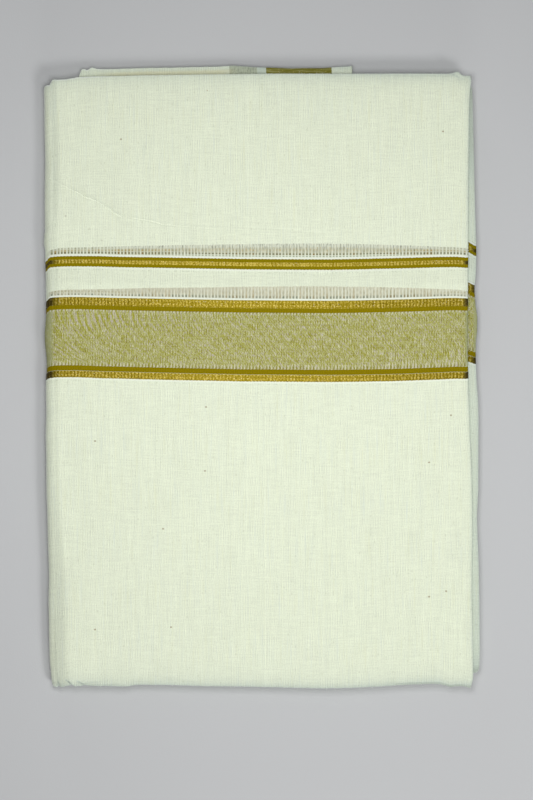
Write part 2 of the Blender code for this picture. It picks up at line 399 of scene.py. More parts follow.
def section(outer_shares, inner_shares, t):
    """Rows round one panel: up its outer face, over the top fold, down its inner face, and back
    past the free ply and the bottom fold."""
    half = t / 2
    rows = []
    r0 = t * 0.30                       # the bottom fold holds two plies
    base = half - 2 * r0                # height of the gap between the fold and the free ply
    rows.append(Row(0, 2.8, base - 0.02 * t, "gap"))
    rows.append(Row(0, 0.50, base))
    for a in (-62, -35, -8, 18, 45, 68):
        rows.append(Row(0, r0 - r0 * math.cos(math.radians(a)), base + r0 + r0 * math.sin(math.radians(a))))
    for e, d in ((0.36, 0.060), (0.62, 0.030), (0.92, 0.012), (1.25, 0.004), (1.60, 0.003), (2.0, 0.003), (2.5, 0.003), (3.1, 0.003)):
        rows.append(Row(0, e, half - d * t))
    for s in outer_shares:
        rows.append(Row(s, 0.0, half))
    for e, d in ((3.4, 0.004), (2.4, 0.006), (1.9, 0.008), (1.5, 0.012), (1.15, 0.022), (0.85, 0.045), (0.60, 0.085)):
        rows.append(Row(1, -e, half - d * t))
    top = half - 0.09 * t
    for a in (62, 38, 14, -10, -34, -60):
        rows.append(Row(1, -0.42 + 0.42 * math.cos(math.radians(a)), top * math.sin(math.radians(a))))
    for e, d in ((0.65, 0.13), (1.3, 0.05), (3.0, 0.0)):
        rows.append(Row(1, -e, -half + d * t, "inner"))
    for s in inner_shares:
        rows.append(Row(s, 0.0, -half, "inner"))
    rows.append(Row(0, 4.5, -half, "free"))
    rows.append(Row(0, 0.34, -half + 0.01, "free"))
    rows.append(Row(0, 0.10, -half + 0.09 * t, "free"))
    rows.append(Row(0, 0.04, (-half + base) / 2 - 0.05, "free"))
    rows.append(Row(0, 0.10, base - 0.19 * t, "free"))
    rows.append(Row(0, 0.34, base - 0.11 * t, "free"))
    return rows


class Place:
    """Where one station's rows lie: x, y, z and the wall's outward direction, with along and thin, the amount of
    painted shade.
    """

    def __init__(self, x, y, z, nx, nz, along, thin=0.0):
        one = np.ones_like(y, dtype=float)
        self.x, self.y, self.z, self.nx, self.nz, self.along, self.thin = (
            x * one, y, z * one, nx * one, nz * one, along * one, thin * one)


def build_strip(name, stations, rows, free_seed, relief=None, strips=None, lit=(0.0, 0.0), leaning=None):
    """A closed band of cloth swept through its stations, each a function of share and offset."""
    n, m = len(stations), len(rows)
    share = np.array([r.share for r in rows], float)
    off = np.array([r.off for r in rows], float)
    high = np.array([r.high for r in rows], float)
    slack_rows = np.array([r.face == "free" and r.off < 2 for r in rows])
    outer = np.array([r.face == "outer" for r in rows])
    co = np.zeros((n, m, 3))
    # the plies map carries painted shade (its first value) and painted highlight (its second)
    maps = {k: np.zeros((n, m, 2)) for k in ("cloth", "strips", "plies")}
    level_share = share
    for i, st in enumerate(stations):
        d = st(level_share, off)
        if leaning is not None:
            share = level_share + np.where(outer & (level_share > 0) & (level_share < 1), leaning(d.x, level_share), 0.0)
            d = st(share, off)
        slack = 0.75 + 0.85 * wobble(d.along, free_seed, 70.0)
        y = d.y + np.where(slack_rows, slack, 0.0)
        h = high.copy()
        if relief is not None:
            h = h + np.where(outer, relief(d.x, y, share, d), 0.0)
        co[i, :, 0] = d.x + d.nx * h
        co[i, :, 1] = y
        co[i, :, 2] = d.z + d.nz * h
        v = V_LOW + share * (V_HIGH - V_LOW) + off
        maps["cloth"][i, :, 0] = d.along
        maps["cloth"][i, :, 1] = v
        h1, h2 = strip_heights(d.along) if strips is None else strips
        maps["strips"][i, :, 0] = h1
        maps["strips"][i, :, 1] = h2
        # painted shade at the cloth's rims, standing partly for the few plies beneath it there
        from_top, from_foot = np.maximum(0.0, V_HIGH - v), np.maximum(0.0, v - V_LOW)
        rim = 0.30 * np.exp(-from_top / 6.0) + 0.28 * np.exp(-from_foot / 7.0)
        rim = rim + (0.03 + 0.33 * smooth(-70.0, 110.0, d.x)) * np.exp(-from_top / 3.0) + (0.40 + 0.36 * smooth(55.0, 130.0, d.x)) * np.exp(-from_foot / 2.4)
        maps["plies"][i, :, 0] = np.clip(d.thin + rim, 0.0, 1.0)
        # and painted highlight: a light rim at the ends, and on the sides that lit picks
        near_end = np.where(share >= 1, -off, 9.0)
        maps["plies"][i, :, 1] = np.clip((0.12 + 0.50 * smooth(-95.0, -122.0, d.x)) * smooth(1.25, 0.35, near_end)
                                         + lit[0] * smooth(0.72, 0.97, -d.nx) + lit[1] * smooth(0.72, 0.97, d.nx), 0.0, 1.0)
    return finish_mesh(name, co, maps)


def finish_mesh(name, co, maps):
    n, m, _ = co.shape
    verts = (co.reshape(-1, 3) * MM)
    i = np.arange(n - 1)[:, None]
    j = np.arange(m)[None, :]
    a = i * m + j
    b = i * m + (j + 1) % m
    c = (i + 1) * m + (j + 1) % m
    d = (i + 1) * m + j
    quads = np.stack([a, b, c, d], -1).reshape(-1, 4)
    mesh = bpy.data.meshes.new(name)
    caps = [list(range(m))[::-1], [(n - 1) * m + k for k in range(m)]]
    mesh.from_pydata(verts.tolist(), [], quads.tolist() + caps)
    mesh.update()
    loops = np.empty(len(mesh.loops), np.int32)
    mesh.loops.foreach_get("vertex_index", loops)
    for label, data in maps.items():
        layer = mesh.uv_layers.new(name=label)
        layer.data.foreach_set("uv", data.reshape(-1, 2)[loops].astype(np.float32).ravel())
    bm = bmesh.new()
    bm.from_mesh(mesh)
    bmesh.ops.recalc_face_normals(bm, faces=bm.faces)
    bm.to_mesh(mesh)
    bm.free()
    mesh.shade_smooth()
    obj = bpy.data.objects.new(name, mesh)
    bpy.context.scene.collection.objects.link(obj)
    return obj


# ---------------------------------------------------------------- where each stretch runs
STRIP_H = np.array([
    # (along, thin strip, wide strip): how tall the see-through rows above the bands show
    (-470.0, 3.6, 3.4),
    (-150.0, 3.8, 3.6),
    (-141.0, 5.2, 4.3),
    (-134.0, 5.4, 4.7),
    (-124.0, 5.7, 5.2),
    (-110.0, 6.7, 6.2),
    (-89.0, 7.8, 7.4),
    (-68.0, 9.0, 8.2),
    (-47.0, 9.6, 8.8),
    (-27.0, 9.6, 8.9),
    (-6.0, 9.3, 8.4),
    (15.0, 8.7, 8.1),
    (36.0, 8.1, 7.3),
    (57.0, 7.4, 6.7),
    (77.0, 6.7, 6.2),
    (98.0, 6.0, 5.3),
    (112.0, 5.2, 4.6),
    (126.0, 4.7, 4.1),
    (140.0, 4.5, 3.9),
    (146.0, 3.6, 3.0),
    (152.0, 3.2, 3.0),
    (470.0, 3.6, 3.4),
])


def strip_heights(along):
    return np.interp(along, STRIP_H[:, 0], STRIP_H[:, 1]), np.interp(along, STRIP_H[:, 0], STRIP_H[:, 2])


def rise(share, bottom, top, along, table):
    """How far each row sits above its straight place, so that the stripes bow as they do."""
    high_share, low_share = (82.0 - V_LOW) / (V_HIGH - V_LOW), (-2.8 - V_LOW) / (V_HIGH - V_LOW)
    high = 82.0 + np.interp(along, table[:, 0], table[:, 1]) - (bottom + high_share * (top - bottom))
    low = -2.8 + np.interp(along, table[:, 0], table[:, 2]) - (bottom + low_share * (top - bottom))
    k = np.clip((share - low_share) / (high_share - low_share), -0.6, 1.4)
    fade = smooth(0.0, 0.3, share) * smooth(1.0, 0.82, share)
    return (low + (high - low) * k) * fade


def heights(share, off, bottom, top, along, table):
    return bottom + share * (top - bottom) + off + rise(share, bottom, top, along, table)


def ends(x):
    """Bottom and top edges of the front panel."""
    ragged = 0.10 * wobble(x, 31, 8.0, 2)
    return col(FRONT_ENDS, 1, x) + ragged, col(FRONT_ENDS, 2, x) + 0.10 * wobble(x, 32, 7.0, 2)


def wavy_ends(x, bottom, top, wave, phase):
    """Bottom and top edges of a hidden panel."""
    seed = int(phase * 10)
    return (bottom + wave * np.sin(x / 23.0 + phase) + 0.5 * wave * wobble(x, seed + 3, 40.0),
            top + wave * np.sin(x / 19.0 + 2 * phase) + 0.5 * wave * wobble(x, seed + 7, 35.0))


def side_of(which, share, off):
    """Outline of the front at the left or right, by the rows' own heights there."""
    if which == "left":
        return col(FRONT_SIDES, 1, -214.2 + share * 420.3 + off)
    return col(FRONT_SIDES, 2, -214.5 + share * 423.4 + off)


def roll_size(y):
    low = smooth(-75.0, -182.0, y)
    high = smooth(100.0, 150.0, y) * (1.0 - 0.75 * smooth(165.0, 192.0, y))
    return 1.0 + 3.0 * low + 0.7 * high, 4.6 + 5.4 * low + 1.6 * high, 2.0 + 3.0 * low


def roll(x, y, edge):
    """The front falls away before the left fold, further and wider towards the bottom."""
    deep, wide, past = roll_size(y)
    return -deep * smooth(wide, -past, x - edge)


def bend_form(y):
    """The left fold at a height: where it leaves the front, its middle, radii and starting angle."""
    edge = col(FRONT_SIDES, 1, y) + FOLD_REACH
    deep, wide, past = roll_size(y)
    t0 = wide / (wide + past)
    slope = deep * 6.0 * t0 * (1.0 - t0) / (wide + past)
    joint = STACK_H - PANEL_T / 2 + lift(edge, y) + roll(edge, y, edge)
    reach = FOLD_REACH - PANEL_T / 2
    phi = np.zeros_like(edge)
    for _ in range(6):
        rx = reach / (1.0 - np.sin(phi))
        rz = (joint - PANEL_T / 2) / (1.0 + np.cos(phi))
        phi = np.arctan(slope * rx / rz)
    return edge, edge + rx * np.sin(phi), rx, rz, phi


def front_stations():
    out = []
    z_top = STACK_H - PANEL_T / 2
    r = STEP / 2

    def flat(x, along, share, off, drop, nz):
        bottom, top = ends(x)
        y = heights(share, off, bottom, top, along, BOW)
        edge = side_of("left", share, off) + FOLD_REACH
        return Place(x, y, z_top - drop + lift(x, y) + roll(x, y, edge), 0.0, nz, along)

    def leg(u):
        def st(share, off):
            nose_x = side_of("right", share, off) - PANEL_T / 2 - r
            x = nose_x - 14.0 + u * 14.0
            return flat(x, -nose_x - math.pi * r - (nose_x - x), share, off, STEP, -1.0)
        return st

    def nose(u):
        a = math.radians(-90 + 180 * u)

        def st(share, off):
            nose_x = side_of("right", share, off) - PANEL_T / 2 - r
            along = -nose_x - r * (math.pi / 2 - a)
            bottom, top = ends(nose_x)
            y = heights(share, off, bottom, top, along, BOW)
            # the last value paints shade on the right nose, darkest at its outer side
            return Place(nose_x + r * math.cos(a), y, z_top - r + r * math.sin(a) + lift(nose_x, y),
                         math.cos(a), math.sin(a), along, 0.56 * math.exp(-1.2 * (1.0 - math.cos(a)) / 1.2))
        return st

    def front(u):
        def st(share, off):
            nose_x = side_of("right", share, off) - PANEL_T / 2 - r
            edge = side_of("left", share, off) + FOLD_REACH
            x = nose_x + u * (edge - nose_x)
            y0 = share * 425.5 - 215.0
            # painted shade: a little towards the left fold, more beside the right nose, with the painted shadow of the
            # dents and creases
            thin = (0.10 - 0.08 * smooth(-100.0, -60.0, y0) * smooth(80.0, 20.0, y0) + 0.07 * smooth(110.0, 150.0, y0)) * smooth(7.0, 0.0, x - edge) + 0.56 * np.exp(-(nose_x + 1.2 - x) / 1.2)
            d = flat(x, -x, share, off, 0.0, 1.0)
            d.thin = thin + dent_shade(d.x, d.y)
            return d
        return st

    def bend(u):
        def st(share, off):
            straight = -214.2 + share * 420.3 + off
            edge0 = col(FRONT_SIDES, 1, straight) + FOLD_REACH
            bottom, top = ends(edge0)
            real = straight
            for _ in range(2):
                edge, mid, rx, rz, phi = bend_form(real)
                a = math.pi / 2 + phi + u * (math.pi - phi)
                at = mid + rx * np.cos(a)
                b2, t2 = ends(at)
                real = straight + (t2 - top) * smooth(0.88, 1.0, share) ** 2 + (b2 - bottom) * smooth(0.04, 0.0, share)
            # the corners run back round the fold as its outline does
            b2, t2 = ends(at)
            slip = (t2 - top) * smooth(0.88, 1.0, share) ** 2 + (b2 - bottom) * smooth(0.04, 0.0, share)
            along = -edge0 + (rx + rz) / 2 * u * (math.pi - phi)
            y = heights(share, off, bottom, top, along, BOW) + slip
            nx, nz = np.cos(a) / rx, np.sin(a) / rz
            size = np.sqrt(nx * nx + nz * nz)
            # the last value paints shade over the left fold, less where it faces sideways
            return Place(at, y, PANEL_T / 2 + rz + rz * np.sin(a), nx / size, nz / size, along,
                         0.10 - 0.08 * np.abs(np.cos(a)))
        return st

    for u in np.linspace(0, 1, 5)[:-1]:
        out.append(leg(u))
    for u in np.linspace(0, 1, 11)[:-1]:
        out.append(nose(u))
    cols = np.concatenate([np.linspace(0, 0.02, 6)[:-1], np.linspace(0.02, 0.92, 150)[:-1], np.linspace(0.92, 1.0, 58)])
    for u in cols[:-1]:
        out.append(front(u))
    for u in np.linspace(0, 1, 27):
        out.append(bend(u))
    return out


def level(index, x, y):
    """Middle height of a hidden panel: 0 is the back panel, then 1 to 6 above it."""
    if index == 0:
        return PANEL_T / 2 + 0.0 * x
    edge = col(FRONT_SIDES, 1, y) + FOLD_REACH
    room = CORE_HIGH - FLAP_T - 0.3 - CORE_LOW + 1.3 * smooth(64.0, 76.0, x) + 1.2 * smooth(-128.0, -134.0, x)
    room = room + lift(x, y) + roll(x, y, edge) * 1.1
    return CORE_LOW + room * (index - 0.5) / 6.0


def core_left(y, z):
    """How far left the hidden folds reach inside the left fold."""
    edge, mid, rx, rz, _phi = bend_form(y)
    rise_to = np.minimum(1.0, np.abs(z - PANEL_T / 2 - rz) / (rz - PANEL_T / 2))
    corner = 0.9 * np.clip(y - 197.0, 0.0, 12.0) + 0.6 * np.clip(-209.5 - y, 0.0, 6.0)
    return mid - (rx - PANEL_T / 2) * np.sqrt(1.0 - rise_to ** 2) + GAP + 0.35 + corner


def snake(order, start, cols=46):
    """Stations along hidden panels in turn. order is a list of (panel, direction), where a
    direction of 1 runs to the right; folds join each to the next."""
    out = []

    def ends_of(idx, share, off):
        name, right, b, tp, wave, phase = PANELS[idx]
        yn = b + share * (tp - b) + off
        rr = right - 1.1 + 0.5 * wave * np.sin(yn / 27.0 + 3 * phase) + 0.35 * wobble(yn, idx + 40, 60.0)
        rr = rr - 1.2 * smooth(3.0, 0.0, tp - yn) - 1.0 * smooth(3.0, 0.0, yn - b)
        if idx == 0:
            ll = bend_form(-214.2 + share * 420.3 + off)[1]
        else:
            ll = core_left(yn, level(idx, -150.0, yn)) + 1.3
        return ll, rr, b, tp, wave, phase

    def edges_at(idx, x, b, tp, wave, phase):
        bottom, top = wavy_ends(x, b, tp, wave, phase)
        if idx == 0:
            w = smooth(-128.0, -143.0, x)
            fb, ft = ends(x)
            bottom, top = bottom * (1 - w) + w * fb, top * (1 - w) + w * ft
        return bottom, top

    def panel(idx, direction, u, a0, width):
        def st(share, off):
            ll, rr, b, tp, wave, phase = ends_of(idx, share, off)
            x = rr + u * (ll - rr) if direction < 0 else ll + u * (rr - ll)
            bottom, top = edges_at(idx, x, b, tp, wave, phase)
            along = a0 + u * width
            if idx == 0:
                edge, _mid, rx, rz, phi = bend_form(-214.2 + share * 420.3 + off)
                along = x - ll - edge + (rx + rz) / 2 * (math.pi - phi)
            y = heights(share, off, bottom, top, along, BOW)
            return Place(x, y, level(idx, x, y), 0.0, -1.0 if direction > 0 else 1.0, along)
        return st

    def fold(lower, upper, side, u, a0):
        def st(share, off):
            ll, rr, b, tp, wave, phase = ends_of(lower, share, off)
            ll2, rr2, b2, tp2, wave2, phase2 = ends_of(upper, share, off)
            xb, xu = (rr, rr2) if side > 0 else (ll, ll2)
            base = xb + u * (xu - xb)
            bl, tl = edges_at(lower, xb, b, tp, wave, phase)
            bu, tu = edges_at(upper, xu, b2, tp2, wave2, phase2)
            w = u * u * (3 - 2 * u)
            bottom, top = bl + w * (bu - bl), tl + w * (tu - tl)
            along = a0 + u * math.pi * 0.6
            y = heights(share, off, bottom, top, along, BOW)
            zl, zu = level(lower, xb, y), level(upper, xu, y)
            r = (zu - zl) / 2
            a = math.radians(-90 + 180 * u)
            nx, nz = side * math.cos(a), math.sin(a)
            if side < 0:
                nx, nz = -nx, -nz
            return Place(base + side * 1.15 * r * math.cos(a), y, (zl + zu) / 2 + r * math.sin(a), nx, nz, along)
        return st

    a0 = start
    for k, (idx, direction) in enumerate(order):
        for u in np.linspace(0, 1, cols):
            out.append(panel(idx, direction, u, a0, 287.0))
        a0 += 287.0
        if k + 1 < len(order):
            for u in np.linspace(0, 1, 9)[1:-1]:
                out.append(fold(idx, order[k + 1][0], direction, u, a0))
            a0 += math.pi * 0.6
    return out


def second_stations():
    """The panel under the front, a left fold, the next panel, the nose that shows, and its return."""
    out = []
    z2 = STACK_H - STEP - PANEL_T / 2
    z3 = z2 - STEP
    z4 = z3 - STEP
    r = STEP / 2
    flat_x = 137.0
    SHIFT = 6.2

    def limits(share, off):
        yn = -205.9 + share * 409.1 + off
        right, droop = col(SECOND_NOSE, 1, yn), col(SECOND_NOSE, 2, yn)
        nose_x = right - PANEL_T / 2 - r
        under = side_of("right", share, off) - PANEL_T / 2 - r - 14.2
        ll = side_of("left", share, off) + FOLD_REACH + 3.2 + 1.6 * smooth(-70.0, -185.0, yn)
        return nose_x, under, ll, droop

    def sag(x, nose_x, droop):
        return -droop * np.clip((x - flat_x) / (nose_x - flat_x), 0, 1.3) ** 1.5

    def under(x, y, share, off):
        edge = side_of("left", share, off) + FOLD_REACH
        return lift(np.minimum(x, flat_x), y) + roll(x, y, edge)

    def p2(u):
        def st(share, off):
            _n, right, ll, _d = limits(share, off)
            x = right + u * (ll - right)
            bottom, top = ends(x)
            k = smooth(150.0, -148.0, x)
            along = -450.0 + u * 280
            y = heights(share, off, bottom + 0.8 + 2.2 * k, top - 0.6 - 1.8 * k, along, SECOND_BOW)
            return Place(x, y, z2 + under(x, y, share, off), 0.0, -1.0, along)
        return st

    def left(u):
        a = math.radians(90 + 180 * u)

        def st(share, off):
            _n, _r, ll, _d = limits(share, off)
            b2, t2 = ends(ll)
            bottom = (b2 + 3.0) * (1 - u) + u * -205.9
            top = (t2 - 2.4) * (1 - u) + u * 203.3
            y = heights(share, off, bottom, top, -170.0, SECOND_BOW)
            return Place(ll + 0.9 * r * math.cos(a), y, z2 - r + r * math.sin(a) + under(ll, y, share, off),
                         -math.cos(a), -math.sin(a), -170.0 + u * 2)
        return st

    def p3_edges(x):
        return -205.9 + 0.35 * wobble(x, 5, 60.0), 203.2 + 0.35 * wobble(x, 6, 70.0)

    def shade(x, y, nose_x):
        """Painted shade: the ply is coloured greyer than the front, most of all beside its edge and at the fold, and
        least in the mesh.
        """
        beside = np.exp(-np.maximum(0.0, x - col(FRONT_SIDES, 2, y)) / 0.75)
        mesh = smooth(17.0, 19.5, y) * smooth(57.5, 55.0, y)
        return (0.44 + 0.36 * smooth(110.0, 165.0, y) - 0.26 * mesh + 0.16 * beside * (1.0 - smooth(120.0, 150.0, y))
                + (0.22 - 0.14 * smooth(110.0, 150.0, y)) * smooth(-1.2, 0.9, x - nose_x))

    def p3(u):
        def st(share, off):
            nose_x, _u, ll, droop = limits(share, off)
            x = ll + u * (nose_x - ll)
            bottom, top = p3_edges(x)
            y = heights(share, off, bottom, top, SHIFT - x, SECOND_BOW)
            return Place(x, y, z3 + under(x, y, share, off) + sag(x, nose_x, droop), 0.0, 1.0, SHIFT - x,
                         shade(x, y, nose_x) * smooth(136.0, 142.0, x))
        return st

    def nose(u):
        a = math.radians(90 - 180 * u)

        def st(share, off):
            nose_x, _u, ll, droop = limits(share, off)
            bottom, top = p3_edges(nose_x)
            along = SHIFT - nose_x - r * (math.pi / 2 - a)
            y = heights(share, off, bottom, top, along, SECOND_BOW)
            return Place(nose_x + r * math.cos(a), y, z3 - r + r * math.sin(a) + lift(flat_x, y) + sag(nose_x, nose_x, droop),
                         math.cos(a), math.sin(a), along, shade(nose_x + r * math.cos(a), y, nose_x))
        return st

    def p4(u):
        def st(share, off):
            nose_x, _u, ll, droop = limits(share, off)
            x = nose_x + u * (ll - nose_x)
            bottom, top = p3_edges(nose_x)
            k = float(smooth(0, 0.5, u))
            along = SHIFT - nose_x - r * math.pi - (nose_x - x)
            y = heights(share, off, bottom - 2.6 * k, top + 1.6 * k, along, SECOND_BOW)
            # painted shade on the return under the nose
            return Place(x, y, z4 + under(x, y, share, off) + sag(x, nose_x, droop), 0.0, -1.0, along, 0.3)
        return st

    for u in np.linspace(0, 1, 40):
        out.append(p2(u))
    for u in np.linspace(0, 1, 9)[1:-1]:
        out.append(left(u))
    for u in np.concatenate([np.linspace(0, 0.9, 32)[:-1], np.linspace(0.9, 0.984, 8)[:-1], np.linspace(0.984, 1.0, 10)[:-1]]):
        out.append(p3(u))
    for u in np.linspace(0, 1, 11)[:-1]:
        out.append(nose(u))
    for u in np.linspace(0, 1, 40):
        out.append(p4(u))
    return out


def flap_stations():
    out = []

    def make(x):
        def st(share, off):
            top = float(col(FLAP_EDGE, 1, x)) + 0.12 * float(wobble(np.array(x), 33, 8.0, 2))
            bottom = -204.0 + 0.8 * float(wobble(np.array(x), 21, 50.0))
            y = bottom + share * (top - bottom) + off
            z = CORE_HIGH - FLAP_T / 2 + lift(x, np.minimum(y, 207.0)) - 0.012 * np.maximum(0.0, y - 207.0) ** 2
            # painted shade, slight, towards the flap's top under the front's edge
            return Place(x, y, z, 0.0, 1.0, x, 0.04 * smooth(203.0, 210.0, y))
        return st

    xs = np.concatenate([np.linspace(-127.9, -121.6, 16)[:-1], np.linspace(-121.6, -112, 13)[:-1], np.linspace(-112, 50, 70)[:-1], np.linspace(50, 63.3, 10)])
    for x in xs:
        out.append(make(x))
    return out


def shares_for_front():
    """Denser rows where the creases cross and where cords stand proud of the cloth."""
    v = set(np.round(np.arange(-210.0, 206.0, 4.2), 3))
    v |= set(np.round(np.arange(101.2, 106.9, 0.24), 3))
    v |= set(np.round(np.arange(-210.9, -203.6, 0.75), 3))
    for c in CORDS:
        v |= set(np.round(c[1] + np.array([-1.3, -0.8, -0.45, -0.15, 0.15, 0.45, 0.8, 1.3]), 3))
    for b in (53.1, 47.6, 44.3, 5.05, 2.0, 81.7, 79.4, 76.7, 74.4):
        v |= {b - 0.25, b + 0.25}
    v = sorted(x for x in v if -211.0 < x < 206.5)
    keep = [v[0]]
    for x in v[1:]:
        if x - keep[-1] > 0.17:
            keep.append(x)
    return [(x - V_LOW) / (V_HIGH - V_LOW) for x in keep]


CORDS = [
    # (name, height on the cloth, proud, half width)
    ("above thin stripe", 82.45, 0.14, 0.5),
    ("below thin stripe", 74.05, 0.14, 0.55),
    ("above wide band", 53.6, 0.14, 0.5),
    ("below wide band", -3.45, 0.16, 0.55),
]


DENTS = [
    # (x, y, reach along it, reach across it, direction in degrees, depth)
    (-142.3, -211.9, 3.1, 0.50, -55.0, 0.40),
    (-134.4, -211.7, 2.6, 0.62, -38.0, 0.75),
    (-126.3, -212.2, 2.8, 0.60, -22.0, 0.50),
    (-117.0, -212.0, 4.5, 0.60, 4.0, 0.22),
    (-146.2, -195.0, 1.6, 7.0, 8.0, 0.25),
    (135.6, 208.8, 4.2, 0.9, -30.0, 0.35),
]


def dent_shade(x, y):
    """The pressed-in tucks at the corners hold shadow."""
    out = np.zeros_like(x)
    for cx, cy, ra, rb, angle, depth in DENTS:
        c, s = math.cos(math.radians(angle)), math.sin(math.radians(angle))
        u, w = (x - cx) * c + (y - cy) * s, -(x - cx) * s + (y - cy) * c
        out = out + 1.1 * min(depth, 0.6) * np.exp(-(u / ra) ** 2 - (w / (rb * 0.8)) ** 2)
    return crease_shade(x, y) + out


def front_relief(x, y, share, d):
    v = V_LOW + share * (V_HIGH - V_LOW)
    h = np.zeros_like(x)
    for _n, at, proud, half in CORDS:
        h = h + proud * np.exp(-((v - at) / half) ** 2)
    for lo, hi, proud in ((47.6, 53.0, 0.09), (-2.9, 2.0, 0.09), (76.7, 79.4, 0.08)):
        h = h + proud * smooth(lo - 0.3, lo + 0.3, v) * smooth(hi + 0.3, hi - 0.3, v)
    flat = np.clip(d.nz, 0, 1) ** 2
    h = h + flat * crease_height(x, y)
    # a groove where the plies of each edge meet, in places
    low, high = ends(x)
    from_low, from_high = y - low, high - y
    where = np.maximum(smooth(90.0, 97.0, x) * smooth(143.0, 139.0, x), 0.8 * smooth(-95.0, -108.0, x) * smooth(-137.0, -131.0, x))
    h = h - 0.20 * where * np.exp(-((from_low - 1.5) / 0.45) ** 2) * (from_low < 4.0)
    where = smooth(84.0, 95.0, x) * smooth(138.0, 128.0, x)
    h = h - 0.16 * where * np.exp(-((from_high - 1.3) / 0.45) ** 2) * (from_high < 4.0)
    for cx, cy, ra, rb, angle, depth in DENTS:
        c, s = math.cos(math.radians(angle)), math.sin(math.radians(angle))
        u, w = (x - cx) * c + (y - cy) * s, -(x - cx) * s + (y - cy) * c
        h = h - flat * depth * np.exp(-(u / ra) ** 2 - (w / rb) ** 2)
    return h * np.clip(1.0 + d.nz, 0.0, 1.0)


def build_fuzz(name, cloth, count):
    """Loose cotton fibres that stand out of the folds all round: fine closed tapers, rooted in the cloth."""
    rng = np.random.default_rng(77)
    n = len(cloth.data.vertices)
    at = np.empty(n * 3)
    out = np.empty(n * 3)
    cloth.data.vertices.foreach_get("co", at)
    cloth.data.vertex_normals.foreach_get("vector", out)
    at, out = at.reshape(-1, 3) / MM, out.reshape(-1, 3)
    # the surface that faces sideways, all round the outline
    side = (np.abs(out[:, 2]) < 0.55) & ((at[:, 1] > 190.0) | (at[:, 1] < -195.0) | (np.abs(at[:, 0]) > 138.0))
    side &= (out[:, 0] * at[:, 0] > 60.0) | (out[:, 1] * at[:, 1] > 110.0)
    found = np.nonzero(side)[0]
    # even along the outline, whatever the spacing of the points
    angle = np.arctan2(at[found, 1] / 215.0, at[found, 0] / 150.0)
    verts, faces = [], []
    for k in range(count):
        want = -math.pi + 2 * math.pi * (k + rng.random()) / count
        near = found[np.abs(np.angle(np.exp(1j * (angle - want)))) < 0.012]
        if not len(near):
            continue
        i = int(rng.choice(near))
        root, normal = at[i], out[i]
        tangent = np.array([-normal[1], normal[0], 0.0])
        tangent /= max(1e-6, np.linalg.norm(tangent))
        length = 0.45 + min(2.1, rng.exponential(0.55))
        lean = rng.normal(0.0, 0.65)
        curl = rng.normal(0.0, 0.9)
        way = normal + tangent * lean + np.array([0, 0, rng.normal(0.0, 0.35)])
        way /= np.linalg.norm(way)
        thick = rng.uniform(0.035, 0.06)
        points = []
        for q in (0.0, 0.30, 0.62, 1.0):
            bend = way * q * length + tangent * curl * (q * q) * length * 0.5
            points.append(root - normal * 0.12 + bend)
        base = len(verts)
        for q, c in enumerate(points[:-1]):
            a = np.cross(points[q + 1] - c, [0.3, 0.2, 0.93])
            a /= np.linalg.norm(a)
            b = np.cross(points[q + 1] - c, a)
            b /= np.linalg.norm(b)
            r = thick * (1.0, 0.85, 0.6)[q]
            for turn in (0.0, 2.0944, 4.1888):
                verts.append(tuple((c + (a * math.cos(turn) + b * math.sin(turn)) * r) * MM))
        verts.append(tuple(points[-1] * MM))
        faces.append((base + 2, base + 1, base))
        for q in range(2):
            for e in range(3):
                f = base + 3 * q
                faces.append((f + e, f + (e + 1) % 3, f + 3 + (e + 1) % 3, f + 3 + e))
        for e in range(3):
            faces.append((base + 6 + e, base + 6 + (e + 1) % 3, base + 9))
    low = min(v[2] for v in verts)
    if low < 0.0002:
        verts = [(x, y, max(z, 0.0002)) for x, y, z in verts]
    mesh = bpy.data.meshes.new(name)
    mesh.from_pydata(verts, [], faces)
    bm = bmesh.new()
    bm.from_mesh(mesh)
    bmesh.ops.recalc_face_normals(bm, faces=bm.faces)
    bm.to_mesh(mesh)
    bm.free()
    mesh.shade_smooth()
    obj = bpy.data.objects.new(name, mesh)
    bpy.context.scene.collection.objects.link(obj)
    return obj


def build_all():
    pieces = {}
    fine = section(shares_for_front(), np.linspace(0.02, 0.98, 22)[::-1], PANEL_T)
    # lit paints a highlight on the faces turned to the left, at the left fold
    pieces["front_cloth"] = build_strip("front_cloth", front_stations(), fine, 101, front_relief, None, (0.55, 0.0), lean)
    pieces["fuzz"] = build_fuzz("fuzz", pieces["front_cloth"], 1100)
    coarse_v = sorted(set(np.round(np.linspace(0.015, 0.985, 44), 4)))
    coarse = section(coarse_v, np.linspace(0.02, 0.98, 16)[::-1], PANEL_T)
    pieces["back_cloth"] = build_strip("back_cloth", snake([(0, 1), (1, -1)], 163.0, 60), coarse, 102)
    # lit paints a highlight on the ply's faces turned to the right
    pieces["second_cloth"] = build_strip("second_cloth", second_stations(), coarse, 103, None, (0.3, 0.3), (0.0, 0.35))
    thin = section(coarse_v, np.linspace(0.02, 0.98, 12)[::-1], 0.93)
    order = [(2, 1), (3, -1), (4, 1), (5, -1), (6, 1)]
    pieces["inner_cloth"] = build_strip("inner_cloth", snake(order, 760.0, 40), thin, 104)
    flap = section(coarse_v, np.linspace(0.02, 0.98, 12)[::-1], 0.95)
    pieces["flap_cloth"] = build_strip("flap_cloth", flap_stations(), flap, 105)
    return pieces


# ---------------------------------------------------------------- materials
def lin(r, g, b):
    """A colour given in display values of 0 to 255, as linear light."""
    out = []
    for c in (r, g, b):
        c = c / 255.0
        out.append(c / 12.92 if c <= 0.04045 else ((c + 0.055) / 1.055) ** 2.4)
    return tuple(out)


